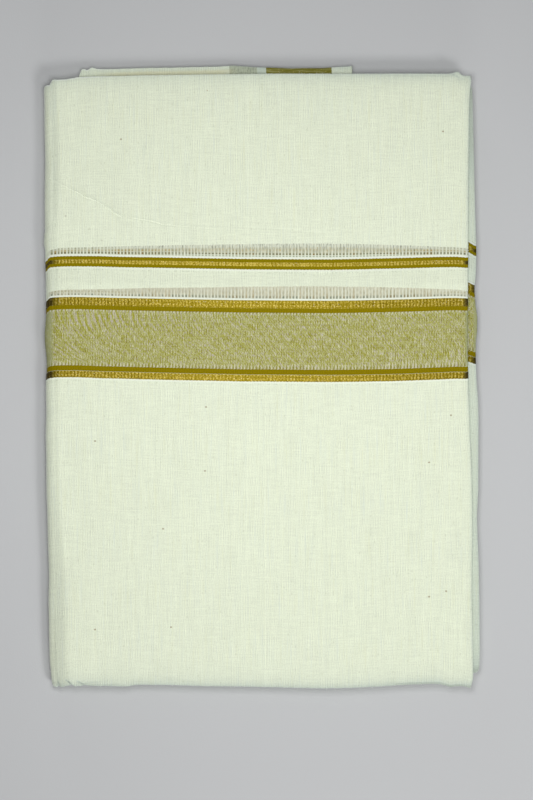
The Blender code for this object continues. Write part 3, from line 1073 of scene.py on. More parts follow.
class Val:
    """A number in a node tree, with arithmetic that adds Math nodes."""

    def __init__(self, tree, socket):
        self.tree, self.socket = tree, socket

    def _m(self, op, a, b=None, c=None, clamp=False):
        return self.tree.math(op, a, b, c, clamp)

    def __add__(self, o): return self._m("ADD", self, o)
    def __radd__(self, o): return self._m("ADD", o, self)
    def __sub__(self, o): return self._m("SUBTRACT", self, o)
    def __rsub__(self, o): return self._m("SUBTRACT", o, self)
    def __mul__(self, o): return self._m("MULTIPLY", self, o)
    def __rmul__(self, o): return self._m("MULTIPLY", o, self)
    def __truediv__(self, o): return self._m("DIVIDE", self, o)
    def __rtruediv__(self, o): return self._m("DIVIDE", o, self)
    def sin(self): return self._m("SINE", self)
    def abs(self): return self._m("ABSOLUTE", self)
    def fract(self): return self._m("FRACT", self)
    def floor(self): return self._m("FLOOR", self)
    def pow(self, p): return self._m("POWER", self, p)
    def clamp(self): return self._m("ADD", self, 0.0, clamp=True)
    def min(self, o): return self._m("MINIMUM", self, o)
    def max(self, o): return self._m("MAXIMUM", self, o)

    def step(self, a, b):
        """0 below a, 1 above b, smooth between; the other way round where a is over b."""
        t = self.tree
        n = t.node("ShaderNodeMapRange", interpolation_type="SMOOTHSTEP", clamp=True)
        t.wire(n.inputs["Value"], self)
        if a <= b:
            lo, hi, x, y = a, b, 0.0, 1.0
        else:
            lo, hi, x, y = b, a, 1.0, 0.0
        n.inputs["From Min"].default_value, n.inputs["From Max"].default_value = lo, hi
        n.inputs["To Min"].default_value, n.inputs["To Max"].default_value = x, y
        return Val(t, n.outputs["Result"])

    def band(self, lo, hi, soft=0.3):
        return self.step(lo - soft / 2, lo + soft / 2) * self.step(hi + soft / 2, hi - soft / 2)


class Tree:
    def __init__(self, name, roughness=0.9):
        self.mat = bpy.data.materials.new(name)
        self.mat.use_nodes = True
        self.nt = self.mat.node_tree
        self.bsdf = self.nt.nodes["Principled BSDF"]
        self.bsdf.inputs["Roughness"].default_value = roughness

    def node(self, kind, **settings):
        n = self.nt.nodes.new(kind)
        for k, v in settings.items():
            setattr(n, k, v)
        return n

    def wire(self, socket, value):
        if isinstance(value, Val):
            value = value.socket
        if isinstance(value, bpy.types.NodeSocket):
            self.nt.links.new(value, socket)
        elif isinstance(value, tuple):
            socket.default_value = (*value, 1.0) if len(value) == 3 and socket.type == "RGBA" else value
        else:
            socket.default_value = value

    def math(self, op, a, b=None, c=None, clamp=False):
        n = self.node("ShaderNodeMath", operation=op, use_clamp=clamp)
        for i, v in enumerate((a, b, c)):
            if v is not None:
                self.wire(n.inputs[i], v)
        return Val(self, n.outputs[0])

    def uv(self, name):
        n = self.node("ShaderNodeUVMap", uv_map=name)
        s = self.node("ShaderNodeSeparateXYZ")
        self.nt.links.new(n.outputs["UV"], s.inputs[0])
        return Val(self, s.outputs["X"]), Val(self, s.outputs["Y"])

    def vec(self, x, y, z=0.0):
        n = self.node("ShaderNodeCombineXYZ")
        for i, v in enumerate((x, y, z)):
            self.wire(n.inputs[i], v)
        return Val(self, n.outputs[0])

    def distance(self, a, point):
        n = self.node("ShaderNodeVectorMath", operation="DISTANCE")
        self.nt.links.new(a.socket, n.inputs[0])
        n.inputs[1].default_value = point
        return Val(self, n.outputs["Value"])

    def noise(self, x, y, z=0.0, detail=2.0, rough=0.5):
        """Noise centred on 0, about -1 to 1."""
        n = self.node("ShaderNodeTexNoise", noise_dimensions="3D")
        self.wire(n.inputs["Vector"], self.vec(x, y, z))
        n.inputs["Scale"].default_value = 1.0
        n.inputs["Detail"].default_value = detail
        n.inputs["Roughness"].default_value = rough
        return (Val(self, n.outputs["Fac"]) - 0.5) * 2.6

    def white(self, x, y=0.0, z=0.0):
        n = self.node("ShaderNodeTexWhiteNoise", noise_dimensions="3D")
        self.wire(n.inputs["Vector"], self.vec(x, y, z))
        return Val(self, n.outputs["Value"])

    def cells(self, x, y, z=0.0, randomness=1.0):
        """Distance to the nearest of some scattered points, and a number of each point's own."""
        n = self.node("ShaderNodeTexVoronoi", voronoi_dimensions="3D", feature="F1")
        self.wire(n.inputs["Vector"], self.vec(x, y, z))
        n.inputs["Scale"].default_value = 1.0
        n.inputs["Randomness"].default_value = randomness
        s = self.node("ShaderNodeSeparateColor")
        self.nt.links.new(n.outputs["Color"], s.inputs[0])
        return Val(self, n.outputs["Distance"]), Val(self, s.outputs[0]), Val(self, s.outputs[1])

    def mix(self, a, b, fac):
        n = self.node("ShaderNodeMix", data_type="RGBA")
        self.wire(n.inputs[0], fac)
        self.wire(n.inputs[6], a)
        self.wire(n.inputs[7], b)
        return Val(self, n.outputs[2])

    def lerp(self, a, b, fac):
        n = self.node("ShaderNodeMix", data_type="FLOAT")
        self.wire(n.inputs[0], fac)
        self.wire(n.inputs[2], a)
        self.wire(n.inputs[3], b)
        return Val(self, n.outputs[0])

    def hue(self, colour, tint):
        n = self.node("ShaderNodeMix", data_type="RGBA", blend_type="MULTIPLY")
        n.inputs[0].default_value = 1.0
        self.wire(n.inputs[6], colour)
        self.wire(n.inputs[7], tint)
        return Val(self, n.outputs[2])

    def scaled(self, colour, factor):
        n = self.node("ShaderNodeVectorMath", operation="SCALE")
        self.wire(n.inputs[0], colour)
        self.wire(n.inputs["Scale"], factor)
        return Val(self, n.outputs[0])

    def finish(self, colour, height, depth, rough=None, metal=None, sheen=0.0, specular=0.25):
        b = self.bsdf
        self.wire(b.inputs["Base Color"], colour)
        if rough is not None:
            self.wire(b.inputs["Roughness"], rough)
        if metal is not None:
            self.wire(b.inputs["Metallic"], metal)
        b.inputs["Specular IOR Level"].default_value = specular
        b.inputs["Sheen Weight"].default_value = sheen
        b.inputs["Sheen Roughness"].default_value = 0.5
        bump = self.node("ShaderNodeBump")
        bump.inputs["Strength"].default_value = 1.0
        bump.inputs["Distance"].default_value = depth
        self.wire(bump.inputs["Height"], height)
        self.nt.links.new(bump.outputs["Normal"], b.inputs["Normal"])
        return self.mat


THREADS = 2.33              # spacing of the thick warp threads, as on the see-through rows
GROUP = 1.68                # spacing of the groups of warp threads in the ground
PITCH = 0.42                # spacing of single threads
CREAM = lin(229, 236, 212)
OLIVE = lin(136, 120, 2)
GOLD = lin(186, 160, 52)
WHITE = lin(236, 241, 226)


def painted_shade_and_rim_light(t, colour, dyed=None):
    """Painted shade and painted highlight: the thin amount turns the cloth greyer and darker, standing partly for few
    plies beneath it and partly for shade; the rim amount lightens it.
    """
    thin, rim = t.uv("plies")
    # painted shade: bluish grey with the thin amount, and darker still past 0.65
    colour = t.mix(colour, t.hue(colour, lin(188, 197, 212)), thin.min(0.65))
    colour = t.scaled(colour, 1.0 - (thin - 0.65).max(0.0) * 0.76)
    # painted highlight: a pale rim with the rim amount, mostly kept off the dyed bands
    if dyed is not None:
        rim = rim * (1.0 - dyed * 0.92)
    return t.mix(colour, lin(246, 252, 250), rim * 0.68)


SPECKS = [
    # (along, height): bits of husk that show on the front
    (115.6, -47.2),
    (38.6, -21.5),
    (39.3, -65.9),
    (68.4, -106.9),
    (115.6, -176.3),
    (62.9, -174.9),
    (-131.4, -28.5),
    (-116.2, -60.4),
    (-116.2, -154.1),
    (-128.0, -149.9),
    (97.6, 164.5),
    (-125.9, 169.3),
]
FAINT_SPECKS = [
    # (along, height, strength)
    (136.1, 109.9, 0.36),
    (119.8, 100.4, 0.20),
    (111.0, 92.7, 0.24),
]


def cream_ground(t, s, v):
    """The plain handloom ground: its colour, and its height from 0 to about 1."""
    # warp threads lie in small groups, each uneven along its length
    drift = t.noise(s / 37.0, v / 70.0, 3.1, 0.0, 0.5) * 1.4
    part = t.noise(s / 10.0, v / 6.0, 7.7, 0.0, 0.5)
    groups = (s * (2 * math.pi / GROUP) + drift * 2.0).sin() * (0.30 + part * 2.3)
    fine = t.noise(s / 0.84, v / 20.0, 4.4, 1.0, 0.7)
    grain = t.noise(s / 0.75, v / 0.90, 5.2, 1.0, 0.6)
    cloud = t.noise(s / 9.0, v / 34.0, 9.4, 2.0, 0.6)
    weft = t.noise(s / 14.0, v / 0.90, 11.9, 1.0, 0.5)
    # a few warp threads stand out for a good length
    odd = t.noise(s / 0.9, v / 190.0, 12.5, 0.0, 0.5)
    lines = ((s - 9.4) / 0.6).abs().step(1.0, 0.1) * v.step(60.0, 95.0)
    lines = lines + ((s + 2.4) / 0.6).abs().step(1.0, 0.1) * v.step(0.0, -30.0)
    tone = groups * 0.037 + fine * 0.066 + grain * 0.098 + cloud * 0.016 + weft * 0.062
    tone = tone + odd.step(0.55, 0.9) * 0.03 - odd.step(-0.6, -0.95) * 0.03 + lines * 0.05
    # plain weave: ends and picks pass over each other in turn
    ends, picks = (s / PITCH).floor(), (v / PITCH).floor()
    a = (s * (math.pi / PITCH)).sin().abs()
    b = (v * (math.pi / PITCH)).sin().abs()
    over = ((ends + picks) * 0.5).fract().step(0.2, 0.3)
    weave = t.lerp(a, b, over)
    colour = t.scaled(CREAM, tone + weave * 0.04 + 0.975)
    # greyer and warmer yarn by turns
    tint = t.noise(s / 1.3, v / 34.0, 31.0, 1.0, 0.5)
    colour = t.mix(colour, lin(221, 225, 186), tint.step(0.10, 1.0) * 0.40)
    colour = t.mix(colour, lin(216, 226, 215), tint.step(-0.10, -1.0) * 0.45)
    # seed specks caught in the yarn
    d, pick, shade = t.cells(s / 13.0, v / 15.0, 0.5)
    speck = (d * 14.0).step(0.75, 0.35) * pick.step(0.78, 0.80)
    colour = t.mix(colour, lin(158, 138, 84), speck * (0.35 + shade * 0.5))
    place, nearest = t.vec(s * 0.8, v), None
    for at, up in SPECKS:
        away = t.distance(place, (at * 0.8, up, 0.0))
        nearest = away if nearest is None else nearest.min(away)
    colour = t.mix(colour, lin(150, 132, 92), nearest.step(0.80, 0.35) * 0.72)
    faint = None
    for at, up, strength in FAINT_SPECKS:
        mark = t.distance(place, (at * 0.8, up, 0.0)).step(0.80, 0.35) * strength
        faint = mark if faint is None else faint.max(mark)
    colour = t.mix(colour, lin(138, 128, 100), faint)
    d2, pick2, _t2 = t.cells(s / 2.6, v / 4.4, 8.5)
    slub = (d2 * 3.4).step(0.9, 0.3) * pick2.step(0.74, 0.82)
    colour = t.mix(colour, lin(200, 206, 178), slub * 0.40)
    height = 0.5 + fine * 0.30 + groups * 0.12 + weft * 0.12 + weave * 0.30 + lines * 0.3
    return colour, height


def thread_wave(t, s, v):
    """Thick warp threads: 1 on a thread and 0 between, with a number of each thread's own."""
    bent = s + t.noise(s / 5.0, v / 30.0, 2.2, 1.0, 0.5) * 0.42
    k = bent / THREADS
    own = t.white(k.floor())
    own2 = t.white(k.floor(), 3.0)
    near = (k.fract() - 0.5).abs() * 2.0        # 0 in the middle of the gap, 1 on the thread
    return near, own, own2


def banded(t, s, v, strips):
    """Ground and stripes together. strips are the heights of the two see-through rows."""
    thin_h, wide_h = strips
    colour, height = cream_ground(t, s, v)
    near, own, own2 = thread_wave(t, s, v)
    thread = near.step(0.50, 0.86) * (0.45 + own * 0.55)
    ragged = t.noise(s / 1.1, v / 9.0, 6.6, 1.0, 0.5)
    wave = (s * (2 * math.pi / THREADS)).sin()
    gold = 0.0
    olive = 0.0

    # ---- see-through rows above the thin stripe
    column = t.noise(s / 0.50, v / 2.6, 14.2, 0.0, 0.5)
    blotch = t.noise(s / 0.70, v / 0.95, 18.3, 1.0, 0.6)
    hollow = near.step(0.72, 0.38)
    d = v - 83.05
    q = d / thin_h
    plain = 1.0 - s.band(147.6, 163.0, 2.0)
    mask = d.step(0.0, 0.35) * (q + ragged * 0.030).step(1.03, 0.97) * plain
    crown = q.step(0.66, 0.80)
    base = t.mix(lin(188, 190, 163), lin(218, 224, 203), crown)
    base = t.mix(base, lin(222, 222, 198), column.step(0.0, 0.7) * 0.75)
    base = t.mix(base, lin(138, 138, 120), column.step(-0.05, -0.65) * (crown * 0.35 + 0.50))
    base = t.mix(base, lin(208, 176, 108), blotch.step(0.15, 0.7) * (0.70 - crown * 0.45))
    base = t.mix(base, lin(186, 180, 188), blotch.step(-0.2, -0.8) * 0.45)
    dot = t.mix(lin(84, 78, 22), lin(120, 124, 90), own)
    dot = t.mix(dot, lin(120, 96, 22), own2.step(0.68, 0.90))
    deep = thin_h.step(6.4, 8.4)
    shallow = thin_h.step(6.4, 5.2)
    base = t.mix(base, lin(210, 214, 192), shallow * 0.60)
    low_row = (d - thin_h * 0.20 - 0.12).abs().step(0.95, 0.40)
    base = t.mix(base, dot, low_row * hollow * (0.72 + own2 * 0.28))
    fade = (d - thin_h * 0.36).abs().step(1.3, 0.5) * (1.0 - shallow * 0.9)
    base = t.mix(base, t.mix(lin(150, 148, 130), dot, 0.35), fade * hollow * (0.04 + own * 0.18))
    high_row = (d - thin_h * 0.53).abs().step(0.85, 0.30)
    base = t.mix(base, t.mix(lin(172, 138, 56), lin(132, 126, 62), own), high_row * hollow * (0.85 - deep * 0.50) * (0.35 + own2 * 0.6))
    third_row = (d - thin_h * 0.85).abs().step(0.80, 0.30) * shallow
    base = t.mix(base, lin(158, 160, 128), third_row * hollow * (0.35 + own * 0.55))
    faint = d.band(0.05, 1.0, 0.3) * deep
    base = t.mix(base, lin(206, 212, 190), faint)
    base = t.mix(base, lin(150, 160, 132), faint * hollow * (0.40 + own * 0.5))
    line = (d - 1.30).abs().step(0.40, 0.15) * deep
    base = t.mix(base, lin(224, 228, 208), line * 0.75)
    # half way up the threads part, so there are twice as many gaps
    half = (((s + 0.3) * (2.0 / THREADS)).fract() - 0.5).abs() * 2.0
    tick = q.step(0.42, 0.62) * half.step(0.60, 0.20) * (1.0 - shallow * 0.7)
    base = t.mix(base, lin(126, 128, 116), tick * (0.16 + own * 0.34 + crown * 0.14))
    reach = q.step(0.48, 0.28) * 0.40 + 0.54 + crown * 0.04
    base = t.mix(base, lin(230, 236, 218), thread * reach)
    colour = t.mix(colour, base, mask * 0.96)
    open1 = mask

    # ---- see-through rows above the wide band
    d = v - 54.2
    q = d / wide_h
    mask = d.step(0.0, 0.35) * (q + ragged * 0.035).step(1.04, 0.96) * plain
    base = t.mix(lin(196, 195, 170), lin(199, 198, 174), q.step(0.4, 0.9))
    base = t.mix(base, lin(208, 211, 188), wide_h.step(6.0, 4.8) * 0.55)
    base = t.mix(base, lin(224, 224, 200), column.step(0.0, 0.7) * 0.55)
    base = t.mix(base, lin(162, 158, 130), column.step(-0.05, -0.65) * 0.60)
    base = t.mix(base, lin(214, 190, 140), blotch.step(0.2, 0.8) * 0.50)
    base = t.mix(base, lin(192, 184, 184), blotch.step(-0.2, -0.8) * 0.45)
    gap_tint = t.mix(lin(178, 150, 96), lin(146, 146, 100), own)
    edges = wide_h.step(6.4, 5.0)
    base = t.mix(base, gap_tint, near.step(0.50, 0.12) * own2 * q.step(1.05, 0.50) * (0.48 - edges * 0.3))
    row = d.step(-0.1, 0.3) * (d + edges * 0.5).step(2.5, 1.3)
    dot = t.mix(lin(114, 124, 106), lin(128, 116, 82), own2.step(0.60, 0.75))
    base = t.mix(base, dot, row * hollow * (0.30 + own * 0.60))
    mid_row = (d - 2.9).abs().step(0.8, 0.3) * wide_h.step(6.0, 4.8)
    base = t.mix(base, lin(160, 152, 108), mid_row * hollow * (0.25 + own2 * 0.55))
    parted = q.step(0.30, 0.55) * half.step(0.55, 0.20) * s.step(-20.0, 50.0)
    base = t.mix(base, lin(176, 172, 156), parted * (0.15 + own * 0.45))
    reach = (q.step(1.0, 0.7) * 0.45 + 0.45) * (1.0 - s.step(10.0, 60.0) * q.step(0.30, 0.55) * 0.45) * (1.0 - edges * 0.30)
    base = t.mix(base, lin(230, 235, 219), thread * reach * 0.86)
    colour = t.mix(colour, base, mask * 0.94)
    open2 = mask
    # the plain strip between the stripes is a little closer woven
    colour = t.scaled(colour, 1.0 - v.band(63.0, 73.0, 3.0) * 0.040)

    # ---- cords and the pricked lines past them
    cord_n = t.noise(s / 1.2, v / 0.6, 17.0, 1.0, 0.5)
    scallop = wave * 0.10 + t.noise(s / 2.0, 0.3, 3.0, 1.0, 0.5) * 0.10
    vs = v + scallop
    cords = vs.band(81.75, 82.95, 0.35).max(vs.band(72.9, 74.35, 0.4) * 0.45).max(v.band(53.2, 54.25, 0.3)).max(vs.band(-4.45, -3.27, 0.4) * 0.60)
    colour = t.mix(colour, t.scaled(WHITE, 0.97 + cord_n * 0.035), cords * 0.95)
    pricks = v.band(72.0, 72.75, 0.35) * 0.8 + v.band(-5.65, -4.85, 0.35) * 0.55
    pricked = pricks * (t.noise(s / 0.75, 1.5, 8.0, 1.0, 0.5).step(-0.1, 0.5))
    colour = t.mix(colour, lin(176, 182, 160), pricked * 0.50)

    # ---- olive edges
    olive_n = t.noise(s / 0.5, v / 1.3, 27.0, 2.0, 0.6)
    olive = vs.band(74.42, 81.72, 0.28).max(vs.band(44.30, 47.6, 0.25)).max(vs.band(1.55, 5.30, 0.25))
    shade = 0.965 + olive_n * 0.30 + (v * (2 * math.pi / 1.25)).sin() * 0.04 + (s * (2 * math.pi / GROUP)).sin() * 0.05
    colour = t.mix(colour, t.scaled(OLIVE, shade), olive)

    # ---- gold thread
    gold = vs.band(76.75, 79.35, 0.35).max(v.band(47.45, 53.05, 0.22)).max(vs.band(-3.27, 1.45, 0.22))
    bent = s + t.noise(s / 5.0, v / 1.7, 40.0, 0.0, 0.5) * 0.40
    ribs = (bent * (2 * math.pi / THREADS)).sin()
    # two rows of spots on the wide bands and one on the thin
    row_at = (v - 51.1) * v.step(60.0, 70.0) * 0.0 + (v - 51.1) + v.step(60.0, 70.0) * 0.45
    rows = (row_at * (2 * math.pi / 2.54)).sin()
    sides = (s.abs()).step(40.0, 112.0) * 0.70 + 0.30
    grit = t.noise(s / 0.72, v / 0.85, 51.0, 1.0, 0.7)
    streak = t.noise(s / 0.80, v / 4.0, 57.0, 0.0, 0.5)
    level = ribs * (sides * 0.34 + 0.10) + rows * 0.12 + ribs * rows * 0.16 + grit * 1.05 + streak * 0.45 + v.step(60.0, 70.0) * 0.30
    g = t.mix(lin(90, 74, 2), lin(133, 116, 20), level.step(-0.95, -0.12))
    g = t.mix(g, lin(182, 162, 77), level.step(-0.12, 0.87))
    # painted highlight: bright and pale glints of the metal thread put into the gold's colour as spots
    gd, gp, gq = t.cells(s / 1.20, v / 1.20, 2.5)
    painted_glint = gd.step(0.44, 0.12) * gp.step(0.50, 0.78)
    g = t.mix(g, lin(238, 214, 128), painted_glint * 0.55)
    g = t.mix(g, lin(190, 180, 150), gd.step(0.40, 0.12) * gq.step(0.82, 0.92) * 0.6)
    # painted shade: the gold is coloured dark over the stretch of flat metal thread at each fold, which is also made
    # less metallic
    folds = s.band(144.4, 157.0, 3.4).max((s * -1.0).band(140.6, 150.0, 2.6))
    g = t.mix(g, lin(44, 36, 18), folds * (0.84 - painted_glint * 0.25))
    colour = t.mix(colour, g, gold)

    # ---- the mesh between the gold bands: flecks, gathered along slanting lines that straighten
    # towards the top on the left half
    mesh = v.band(5.30, 44.35, 0.30)
    h = 44.3 - v
    left = s.step(0.0, 62.0)
    slant = s + t.lerp(h * 0.92, h * h * 0.027, left) + t.noise(s / 17.0, v / 15.0, 61.0, 0.0, 0.5) * 1.3
    fleck = t.noise(s / 0.56, v / 4.60, 63.0, 0.0, 0.5)
    fleck2 = t.noise(slant / 0.62, v / 2.4, 64.0, 0.0, 0.5)
    lines = t.noise(slant / 0.95, h / 6.5, 67.0, 0.0, 0.5)
    broad = t.noise(slant / 1.90, h / 11.0, 68.0, 0.0, 0.5)
    arcs = t.lerp(lines, broad, s.step(60.0, 95.0))
    across = (t.white((s / 0.46).floor(), (v / 0.60).floor(), 5.0) - 0.5) * 2.0
    beaten = t.noise(s / 60.0, v / 0.85, 72.0, 0.0, 0.5)
    wave_at = slant * (2 * math.pi / 3.9) + t.noise(s / 16.0, h / 12.0, 73.0, 0.0, 0.5) * 1.6
    combed = (wave_at.sin() * 0.6 + (wave_at * 2.0 + 1.0).sin() * 0.3 + 0.05) * s.step(30.0, 80.0) * h.step(23.0, 8.0)
    patch = t.noise(s / 9.0, v / 1.6, 70.0, 0.0, 0.5)
    groups = (s * (2 * math.pi / GROUP)).sin() * (patch * 1.6 + 0.45)
    corner = (s * -1.0).step(60.0, 112.0) * h.step(20.0, 33.0)
    streaks = t.noise(s / 0.80, v / 9.0, 71.0, 0.0, 0.5)
    near_fold = s.band(145.2, 170.0, 2.4).max((s * -1.0).band(141.6, 170.0, 1.6))
    contrast = 1.0 - near_fold * 0.45
    m = fleck * 0.84 + fleck2 * 0.22 + arcs * 0.40 + across * 0.58 + groups * 0.46 + beaten * 0.26 + combed * 0.14 + streaks * corner * 0.9
    m = m * contrast * 0.90
    c = t.mix(lin(132, 126, 46), lin(166, 165, 98), m.step(-1.0, 0.0))
    c = t.mix(c, lin(204, 204, 164), m.step(0.0, 1.05))
    tint = (arcs * 0.45 + t.noise(s / 0.75, v / 1.7, 83.0, 0.0, 0.5) * 0.8 + combed * 0.50 + streaks * corner * 0.5) * contrast
    c = t.mix(c, lin(182, 170, 170), tint.step(0.05, 0.7) * 0.62)
    c = t.mix(c, lin(164, 162, 40), tint.step(-0.05, -0.7) * 0.55)
    c = t.mix(c, lin(166, 171, 136), near_fold * 0.45)
    c = t.mix(c, lin(146, 150, 108), near_fold * t.noise(s / 2.6, v / 0.60, 66.0, 0.0, 0.5).step(-0.05, -0.6) * 0.45)
    # white ticks along its foot, and a scalloped head
    tick = near.step(0.48, 0.80) * (v - 5.30 - own * ((s * -1.0).step(80.0, 115.0) * 2.6 + 2.6)).step(1.9, 0.9) * (0.35 + own2 * 0.65)
    gap = near.step(0.45, 0.15) * (v - 5.30).step(2.8, 0.6)
    c = t.mix(c, lin(122, 112, 34), gap * 0.60)
    c = t.mix(c, lin(214, 212, 188), tick * 0.80 * contrast)
    head = near.step(0.45, 0.85) * (v - 44.25).step(-1.6, -0.5)
    c = t.mix(c, lin(212, 212, 190), head * (0.35 + own * 0.55))
    c = t.mix(c, lin(120, 112, 36), near.step(0.40, 0.10) * (v - 44.25).step(-1.0, -0.2) * 0.5)
    colour = t.mix(colour, c, mesh)

    # ---- relief and shine
    opened = open1.max(open2)
    height = t.lerp(height, 0.25 + thread * 0.55 + column * 0.10, opened)
    height = t.lerp(height, 0.85 + cord_n * 0.12, cords)
    height = t.lerp(height, 0.70 + olive_n * 0.10, olive)
    height = t.lerp(height, 0.70 + ribs * sides * 0.12 + grit * 0.25 + painted_glint * 0.2, gold)
    height = t.lerp(height, 0.45 + fleck * 0.20 + tick * 0.2, mesh)
    rough = t.lerp(0.88, 0.62, olive)
    rough = t.lerp(rough, 0.45, gold)
    rough = t.lerp(rough, 0.72, mesh)
    metal = gold * (1.0 - folds * 0.7) * 0.30
    return colour, height, rough, metal, gold.max(olive).max(mesh)


def ground_material(name):
    t = Tree(name)
    s, v = t.uv("cloth")
    colour, height = cream_ground(t, s, v)
    return t.finish(painted_shade_and_rim_light(t, colour), height, 0.00012, None, None, sheen=0.30, specular=0.04)


def banded_material(name):
    t = Tree(name)
    s, v = t.uv("cloth")
    strips = t.uv("strips")
    colour, height, rough, metal, dyed = banded(t, s, v, strips)
    return t.finish(painted_shade_and_rim_light(t, colour, dyed), height, 0.00012, rough, metal, sheen=0.0, specular=0.03)


def flap_material(name):
    """Along the flap: ground, a grey see-through line, a white line, the olive end band, ground."""
    t = Tree(name)
    s, v = t.uv("cloth")
    strips = t.uv("strips")
    colour, height, rough, metal, _dyed = banded(t, s, v, strips)
    near, own, own2 = thread_wave(t, s, v)
    wob = t.noise(v / 3.0, 0.5, 5.0, 1.0, 0.5) * 0.25
    x = s + wob
    ground = v.step(180.0, 186.0)
    # painted shade: the flap's cloth is coloured dull and warm where the layer above shades it
    fine = t.noise(s / 0.6, v / 5.0, 91.0, 1.0, 0.5)
    long = t.noise(s / 22.0, v / 0.62, 93.0, 2.0, 0.6)
    grey = x.band(-22.6, -3.2, 0.5)
    picks = t.noise(s / 0.9, v / 1.6, 97.0, 1.0, 0.6)
    g = t.mix(lin(184, 191, 166), lin(122, 128, 106), fine.step(-0.1, 0.7) * 0.80)
    g = t.mix(g, lin(96, 100, 84), picks.step(0.10, 0.70) * 0.55)
    g = t.mix(g, lin(206, 212, 192), picks.step(-0.15, -0.75) * 0.45)
    g = t.mix(g, lin(200, 206, 190), (s / 12.0).sin().step(0.2, 1.0) * 0.15)
    colour = t.mix(colour, g, grey * 0.92)
    white = x.band(-3.2, 3.1, 0.4)
    colour = t.mix(colour, lin(207, 217, 199), white * 0.92)
    olive = x.band(3.1, 48.9, 0.35)
    o = t.mix(lin(127, 122, 48), lin(182, 179, 122), long.step(-0.1, 0.6))
    o = t.mix(o, lin(98, 90, 20), long.step(-0.1, -0.65) * 0.8)
    od, op, _oq = t.cells(s / 1.5, v / 0.8, 4.5)
    o = t.mix(o, lin(214, 198, 120), od.step(0.40, 0.12) * op.step(0.60, 0.85) * 0.75)
    colour = t.mix(colour, o, olive)
    # painted shadow: a warm line beside the fold above it
    warm = v.band(203.6, 207.6, 2.4) * s.step(-122.0, -96.0) * s.step(-14.0, -30.0)
    colour = t.mix(colour, lin(220, 212, 166), warm * 0.50)
    height = t.lerp(height, 0.5 + fine * 0.3, grey)
    height = t.lerp(height, 0.6 + long * 0.3, olive)
    colour = t.scaled(colour, 1.155)
    return t.finish(painted_shade_and_rim_light(t, colour, olive), height, 0.00012, rough, metal, sheen=0.0, specular=0.03)


def fuzz_material():
    t = Tree("cotton_fibre", 0.9)
    n = t.node("ShaderNodeTexCoord")
    s = t.node("ShaderNodeSeparateXYZ")
    t.nt.links.new(n.outputs["Object"], s.inputs[0])
    x, y = Val(t, s.outputs["X"]), Val(t, s.outputs["Y"])
    tone = 0.98 + t.noise(x * 700.0, y * 700.0, 3.0, 1.0, 0.5) * 0.03
    return t.finish(t.scaled(lin(242, 246, 238), tone), 0.5, 0.00001, None, None, sheen=0.30, specular=0.04)


def floor_material():
    t = Tree("floor_paper", 0.9)
    n = t.node("ShaderNodeTexCoord")
    s = t.node("ShaderNodeSeparateXYZ")
    t.nt.links.new(n.outputs["Object"], s.inputs[0])
    x, y = Val(t, s.outputs["X"]), Val(t, s.outputs["Y"])
    tone = 1.0 + t.noise(x * 2.0, y * 2.0, 1.0, 2.0, 0.5) * 0.01
    return t.finish(t.scaled(lin(196, 197, 198), tone), t.noise(x * 900.0, y * 900.0, 2.0, 1.0, 0.5), 0.00002)


pieces = build_all()
ground_look = ground_material("cream_ground")
band_look = banded_material("cream_with_bands")
flap_look = flap_material("end_band_cloth")


def dress(obj, looks):
    """The first look everywhere, and the second where the lengthwise bands run."""
    mesh = obj.data
    for look in looks:
        mesh.materials.append(look)
    if len(looks) < 2:
        return
    uv = np.empty(len(mesh.loops) * 2, np.float32)
    mesh.uv_layers["cloth"].data.foreach_get("uv", uv)
    v = uv.reshape(-1, 2)[:, 1]
    start = np.empty(len(mesh.polygons), np.int32)
    size = np.empty(len(mesh.polygons), np.int32)
    mesh.polygons.foreach_get("loop_start", start)
    mesh.polygons.foreach_get("loop_total", size)
    low = np.minimum.reduceat(v, start)
    high = np.maximum.reduceat(v, start)
    mesh.polygons.foreach_set("material_index", ((high > -6.5) & (low < 96.0) & (size < 5)).astype(np.int32))


fuzz = pieces["fuzz"]
fuzz.data.materials.append(fuzz_material())
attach(fuzz, "root")
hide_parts("front_wrap")
for name, node, flat, under in (
    ("front_cloth", "front_wrap", (0.33, 0.424), ["second_cloth"]),
    ("back_cloth", "front_wrap", (0.575, 0.42), ["floor"]),
    ("second_cloth", "second_fold", (0.87, 0.41), ["inner_cloth", "flap_cloth"]),
    ("inner_cloth", "inner_folds", (1.43, 0.42), ["back_cloth"]),
    ("flap_cloth", "end_flap", (0.19, 0.418), ["inner_cloth"]),
):
    o = pieces[name]
    dress(o, [flap_look] if name == "flap_cloth" else [ground_look, band_look])
    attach(o, "root")
    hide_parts(node)

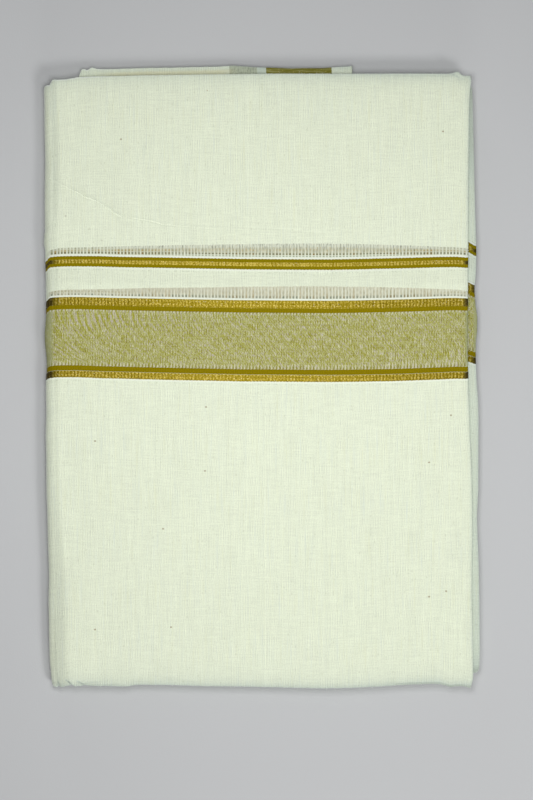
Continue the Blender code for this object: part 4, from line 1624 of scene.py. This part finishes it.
# ---------------------------------------------------------------- floor, light and camera
bpy.ops.mesh.primitive_plane_add(size=6.0, location=(0, 0, 0))
floor = bpy.context.object
floor.name = "floor"
floor.data.materials.append(floor_material())

world = bpy.data.worlds.new("studio")
bpy.context.scene.world = world
world.use_nodes = True
world.node_tree.nodes["Background"].inputs["Color"].default_value = (0.9, 0.93, 0.95, 1)
world.node_tree.nodes["Background"].inputs["Strength"].default_value = 0.13


def lamp(name, loc, size, power, target=(0, 0, 0)):
    light = bpy.data.lights.new(name, "AREA")
    light.shape = "RECTANGLE"
    light.size, light.size_y = size
    light.energy = power
    ob = bpy.data.objects.new(name, light)
    bpy.context.scene.collection.objects.link(ob)
    ob.location = loc
    ob.visible_camera = False
    from mathutils import Vector
    ob.rotation_euler = (Vector(target) - Vector(loc)).to_track_quat("-Z", "Y").to_euler()
    return ob


lamp("near_box", (-0.012, 0.030, 0.55), (0.22, 0.22), 1.37, (-0.012, 0.028, 0))
lamp("high_box", (0.0, -0.10, 2.20), (0.80, 0.80), 7.6, (0.0, 0.0, 0))
lamp("low_right", (0.90, -1.00, 1.15), (0.45, 0.45), 11.2, (0.0, 0.0, 0))
lamp("side_left", (-1.30, 0.10, 0.20), (0.60, 0.25), 0.7, (0.0, 0.0, 0.01))
lamp("side_right", (1.30, -0.10, 0.20), (0.60, 0.25), 1.6, (0.0, 0.0, 0.01))
lamp("side_top", (-0.30, 1.30, 0.20), (0.60, 0.25), 3.0, (0.0, 0.0, 0.01))
lamp("side_bottom", (0.10, -1.40, 0.21), (0.60, 0.25), 7.9, (0.0, 0.0, 0.01))

cam = bpy.data.cameras.new("camera")
cam.lens = 70.0
cam.clip_start, cam.clip_end = 0.02, 20.0
camera = bpy.data.objects.new("camera", cam)
bpy.context.scene.collection.objects.link(camera)
SCALE = 0.694 * MM
dist = cam.lens * 800 * SCALE / cam.sensor_width
camera.location = ((266.5 - 261.6) * SCALE, (377.0 - 400.0) * SCALE, STACK_H * MM + dist)
camera.rotation_euler = (0, 0, 0)
bpy.context.scene.camera = camera
bpy.context.scene.view_settings.view_transform = "Standard"
